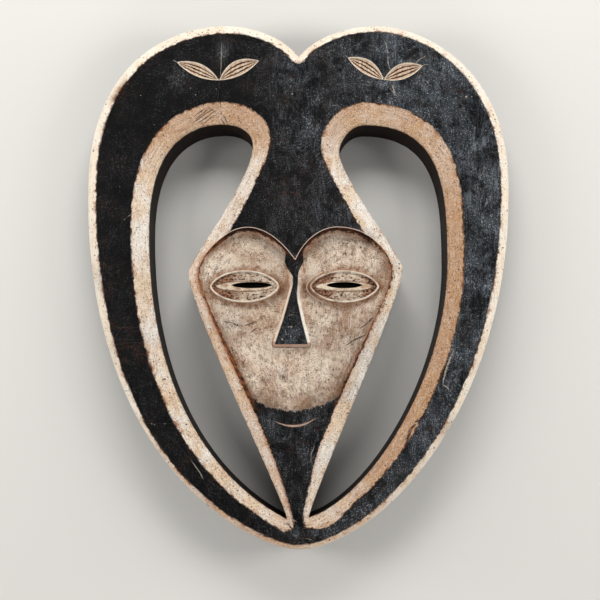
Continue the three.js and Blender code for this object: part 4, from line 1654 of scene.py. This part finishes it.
# %% Knife marks and scratches that are there one by one
# Each mark is its two ends, its bend and its half width in millimetres.
LIGHT_MARKS = (
    (-78.5, 243, -79.5, 206, 0.4, 0.45),
    (87.5, 246, 91, 230, 0.8, 0.5),
    (91, 230, 93.5, 214, -0.8, 0.5),
    (94.5, 199, 97, 187, 0.8, 0.7),
    (118, 220.5, 130.5, 229.5, 1.0, 0.5),
    (92.5, 195.5, 102.5, 185.5, -0.8, 0.4),
    (126.4, 219.4, 131, 221, 0.2, 0.4),
    (47, 230, 50.5, 227, 0.2, 0.4),
    (-128, 225, -124, 223, 0.2, 0.4),
    # A chip's edge on the right band: painted highlight.
    (153.5, -70, 141.5, -105, -1.6, 1.0),
    (141.5, -105, 147.5, -110, 1.2, 0.7),
    (12, -180, 16, -163, 1.2, 0.5),
    (6.5, -252, 13.5, -253.5, 0.3, 0.35),
    (169.5, 187.5, 171.5, 186.5, 0.0, 1.3),
    (-143.8, -142.4, -142.6, -142.4, 0.0, 0.8),
    (-140.9, -143.2, -139.9, -143.4, 0.0, 0.7),
    (-104, -178, -92, -196, 0.4, 0.6),
    (-101, -182, -94, -191, -0.3, 0.4),
    (-139, 12, -146, -4, 0.6, 0.35),
    (-172, 62, -158, 70, 0.8, 0.35),
    (-7.9, -47.8, -6.3, -47.8, 0.0, 1.1),
    (-10.1, -47.9, -9.1, -47.8, 0.0, 0.8),
    (-8.1, -57.3, -6.9, -56.9, 0.0, 1.0),
    (-16.9, -60.0, -15.3, -60.0, 0.0, 1.1),
    (-10.9, -37.4, -4.2, -36.0, 0.8, 0.3),
    (-12.8, -50.0, -11.2, -56.0, -0.6, 0.3),
)
DARK_MARKS = (
    (-79.5, 203, -79, 172, 0.5, 0.4),
    (-107, 160, -86, 174, 0.5, 0.7),
    (-103, 160, -84, 172.5, -0.5, 0.6),
    (-105, 163, -90, 174.5, 0.3, 0.5),
    (-98, 158, -82, 169, 0.7, 0.4),
    (-106, 166, -95, 174, 0.4, 0.5),
    (-92, 176, -83, 170, 0.2, 0.4),
    (-76, 168, -72, 160, 0.3, 0.5),
    (-79, 165, -75, 158, 0.3, 0.5),
    (65, 43, 75, 35, 0.6, 1.0),
    (62, 45, 70, 42, 0.3, 0.7),
    # Painted shadow beside the chip's painted highlight.
    (150.5, -76, 140, -103, -1.6, 0.7),
    (-187, 182, -173, 200, 0.5, 1.1),
    (-184, 180, -176, 188, 0.3, 0.6),
    (-165, 1.2, -163, 0.5, 0.0, 1.0),
    (-11.5, -237.5, -3.4, -246.5, 0.3, 1.0),
    (51, -220, 85, -193, -1.2, 1.0),
    (58, -221, 78, -206, -0.6, 0.7),
    (-74, -41.5, -58, -47.5, 0.8, 0.7),
    (-56, -46.5, -39, -40, -0.8, 0.5),
    (-49, -55, -40, -48, 0.6, 0.6),
    (46, -66.5, 66.5, -55.5, 0.8, 0.8),
    (61, -49, 75, -37, -0.6, 0.6),
    (105, -162, 110.5, -147, 0.5, 1.4),
    (114, -141, 122.5, -135, -0.6, 1.6),
    (107, -151, 115, -143, 0.8, 1.2),
    (104, -158, 108, -154, -0.5, 1.0),
)


def marks(rows):
    """All the marks of one kind as one mask."""
    mask_value = 0.0
    for x0, y0, x1, y1, bend, width in rows:
        one = place(stroke, From_X=x0, From_Y=y0, To_X=x1, To_Y=y1, Bend=bend, Width=width,
                    Line=unsteady)["Mask"]
        mask_value = calc("MAXIMUM", mask_value, one)
    return mask_value


light_marks, dark_marks = marks(LIGHT_MARKS), marks(DARK_MARKS)
broken = stretch(crackle, 0.36, 0.52, 0.25, 1.0)
painted = over(times(dark_marks, broken, 0.85), painted, "20130d")
painted = over(times(light_marks, broken, 0.8), painted, "b9ad9d")
wire(painted, surface["Base Color"])
print("single marks:", len(LIGHT_MARKS), "light and", len(DARK_MARKS), "dark")

# %% Sheen and relief of the front
gloss = calc("MULTIPLY_ADD", white_mask, 0.3, stretch(mottle, 0.3, 0.7, 0.3, 0.5))
wire(gloss, surface["Roughness"])
wire(0.08, surface["Specular IOR Level"])
relief = calc("MULTIPLY", grain["Height"], 0.4)
relief = calc("MULTIPLY_ADD", white_mask, 0.15, relief)
relief = calc("MULTIPLY_ADD", calc("MAXIMUM", spots, lid_pits), -0.3, relief)
relief = calc("MULTIPLY_ADD", mottle, 0.9, relief)
relief = calc("MULTIPLY_ADD", speckle, 0.55, relief)
relief = calc("MULTIPLY_ADD", hairs, 0.12, relief)
relief = calc("MULTIPLY_ADD", calc("MAXIMUM", light_marks, dark_marks), -0.4, relief)
bump = add("ShaderNodeBump", {"Height": relief, "Distance": 1.6 * MM, "Strength": 1.0})
wire(bump.outputs[0], surface["Normal"])
count_nodes("the whole painted front")

# %% [markdown]
# ## Walls and back
#
# The walls were stained almost black. Thin white ran over the outer edge here and there. The back
# has no paint: old wood, dark from hands and smoke, lighter on the high ridges of the adze marks.

# %% Dark walls
SPILL_DEPTH = 1.0
edge_finish, surface = start_finish("stained walls")
grain = place(fibres, Contrast=1.0)
blotch = noise_at(16, 4, 0.6)
stained = over(stretch(blotch, 0.35, 0.7), "0c0604", "20120a")
stained = over(stretch(grain["Streaks"], 0.6, 1.0, 0, 0.4), stained, "392013")
above_spill = calc("SUBTRACT", SPILL_DEPTH, read("depth"))
wall_line = place(ragged)["Line"]
spill = place(frayed, Distance=above_spill, Line=wall_line, Raggedness=1.2, Feather=0.8)["Mask"]
near_rim = calc("LESS_THAN", read("rim_line"), 0.0)
stained = over(calc("MULTIPLY", spill, near_rim), stained, "c9ab86")
wire(stained, surface["Base Color"])
wire(0.62, surface["Roughness"])
wire(0.15, surface["Specular IOR Level"])
bump = add("ShaderNodeBump", {"Height": grain["Height"], "Distance": 0.4 * MM, "Strength": 0.8})
wire(bump.outputs[0], surface["Normal"])
count_nodes("stained walls")

# %% Bare back
rear, surface = start_finish("bare back")
grain = place(fibres, Contrast=1.2)
blotch = noise_at(40, 4, 0.6)
aged = over(grain["Streaks"], "4a2f1e", "7d563a")
aged = over(stretch(blotch, 0.35, 0.65, 0, 0.7), aged, "2e1c12")
dirt = place(pits, Spacing=7.0, Size=0.14, Share=0.4)["Mask"]
aged = over(dirt, aged, "160e0a")
wire(aged, surface["Base Color"])
wire(0.7, surface["Roughness"])
bump = add("ShaderNodeBump", {"Height": grain["Height"], "Distance": 0.5 * MM, "Strength": 0.9})
wire(bump.outputs[0], surface["Normal"])
count_nodes("bare back")
for finish_material in (front, edge_finish, rear):
    mesh.materials.append(finish_material)
print("finishes:", [m.name for m in mesh.materials])

# %% [markdown]
# ## Floor and light
#
# A plain pale floor and four big soft lights: one beyond the horns, which lights the mask from
# above as in a studio, one on each side, which pick out the bevels, and a weak one below the chin.

# %% Floor
FLOOR_HALF = 6.0
UNDER_MASK = 0.3 * MM
floor_mesh = bpy.data.meshes.new("floor")
corner_sides = ((-1, -1), (1, -1), (1, 1), (-1, 1))
corners = [(sx * FLOOR_HALF, sy * FLOOR_HALF, -UNDER_MASK) for sx, sy in corner_sides]
floor_mesh.from_pydata(corners, [], [(0, 1, 2, 3)])
floor = bpy.data.objects.new("floor", floor_mesh)
bpy.context.scene.collection.objects.link(floor)
paper, surface = start_finish("pale floor")
wire("d9d6d0", surface["Base Color"])
wire(0.8, surface["Roughness"])
floor_mesh.materials.append(paper)
print("floor:", 2 * FLOOR_HALF, "m wide")


# %% Lights
SKY = (0.95, 0.97, 1.0, 1)
SKY_STRENGTH = 0.12
MASK_MIDDLE = Vector((0, 0, 20)) * MM


def soft_light(name, place_mm, size, watts):
    """A rectangular lamp that faces the middle of the mask."""
    data = bpy.data.lights.new(name, "AREA")
    data.shape = "RECTANGLE"
    data.size, data.size_y = size
    data.energy = watts
    lamp = bpy.data.objects.new(name, data)
    lamp.location = Vector(place_mm) * MM
    toward = MASK_MIDDLE - lamp.location
    lamp.rotation_euler = toward.to_track_quat("-Z", "Y").to_euler()
    bpy.context.scene.collection.objects.link(lamp)


soft_light("light beyond the horns", (0, 1000, 760), (0.9, 0.5), 12)
soft_light("light on the left", (-1100, 50, 560), (0.4, 0.8), 8)
soft_light("light on the right", (1100, 50, 560), (0.4, 0.8), 8)
soft_light("light below the chin", (0, -1100, 560), (0.9, 0.4), 5.5)
world = bpy.data.worlds.new("world")
world.use_nodes = True
sky = world.node_tree.nodes["Background"].inputs
wire(SKY, sky["Color"])
wire(SKY_STRENGTH, sky["Strength"])
bpy.context.scene.world = world
# Colours come out as they were chosen, with no film look laid over them.
bpy.context.scene.view_settings.view_transform = "Standard"
print("lamps:", len(bpy.data.lights))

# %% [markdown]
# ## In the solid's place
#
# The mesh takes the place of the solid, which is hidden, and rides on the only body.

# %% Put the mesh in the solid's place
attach(mask, "root")
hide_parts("mask")
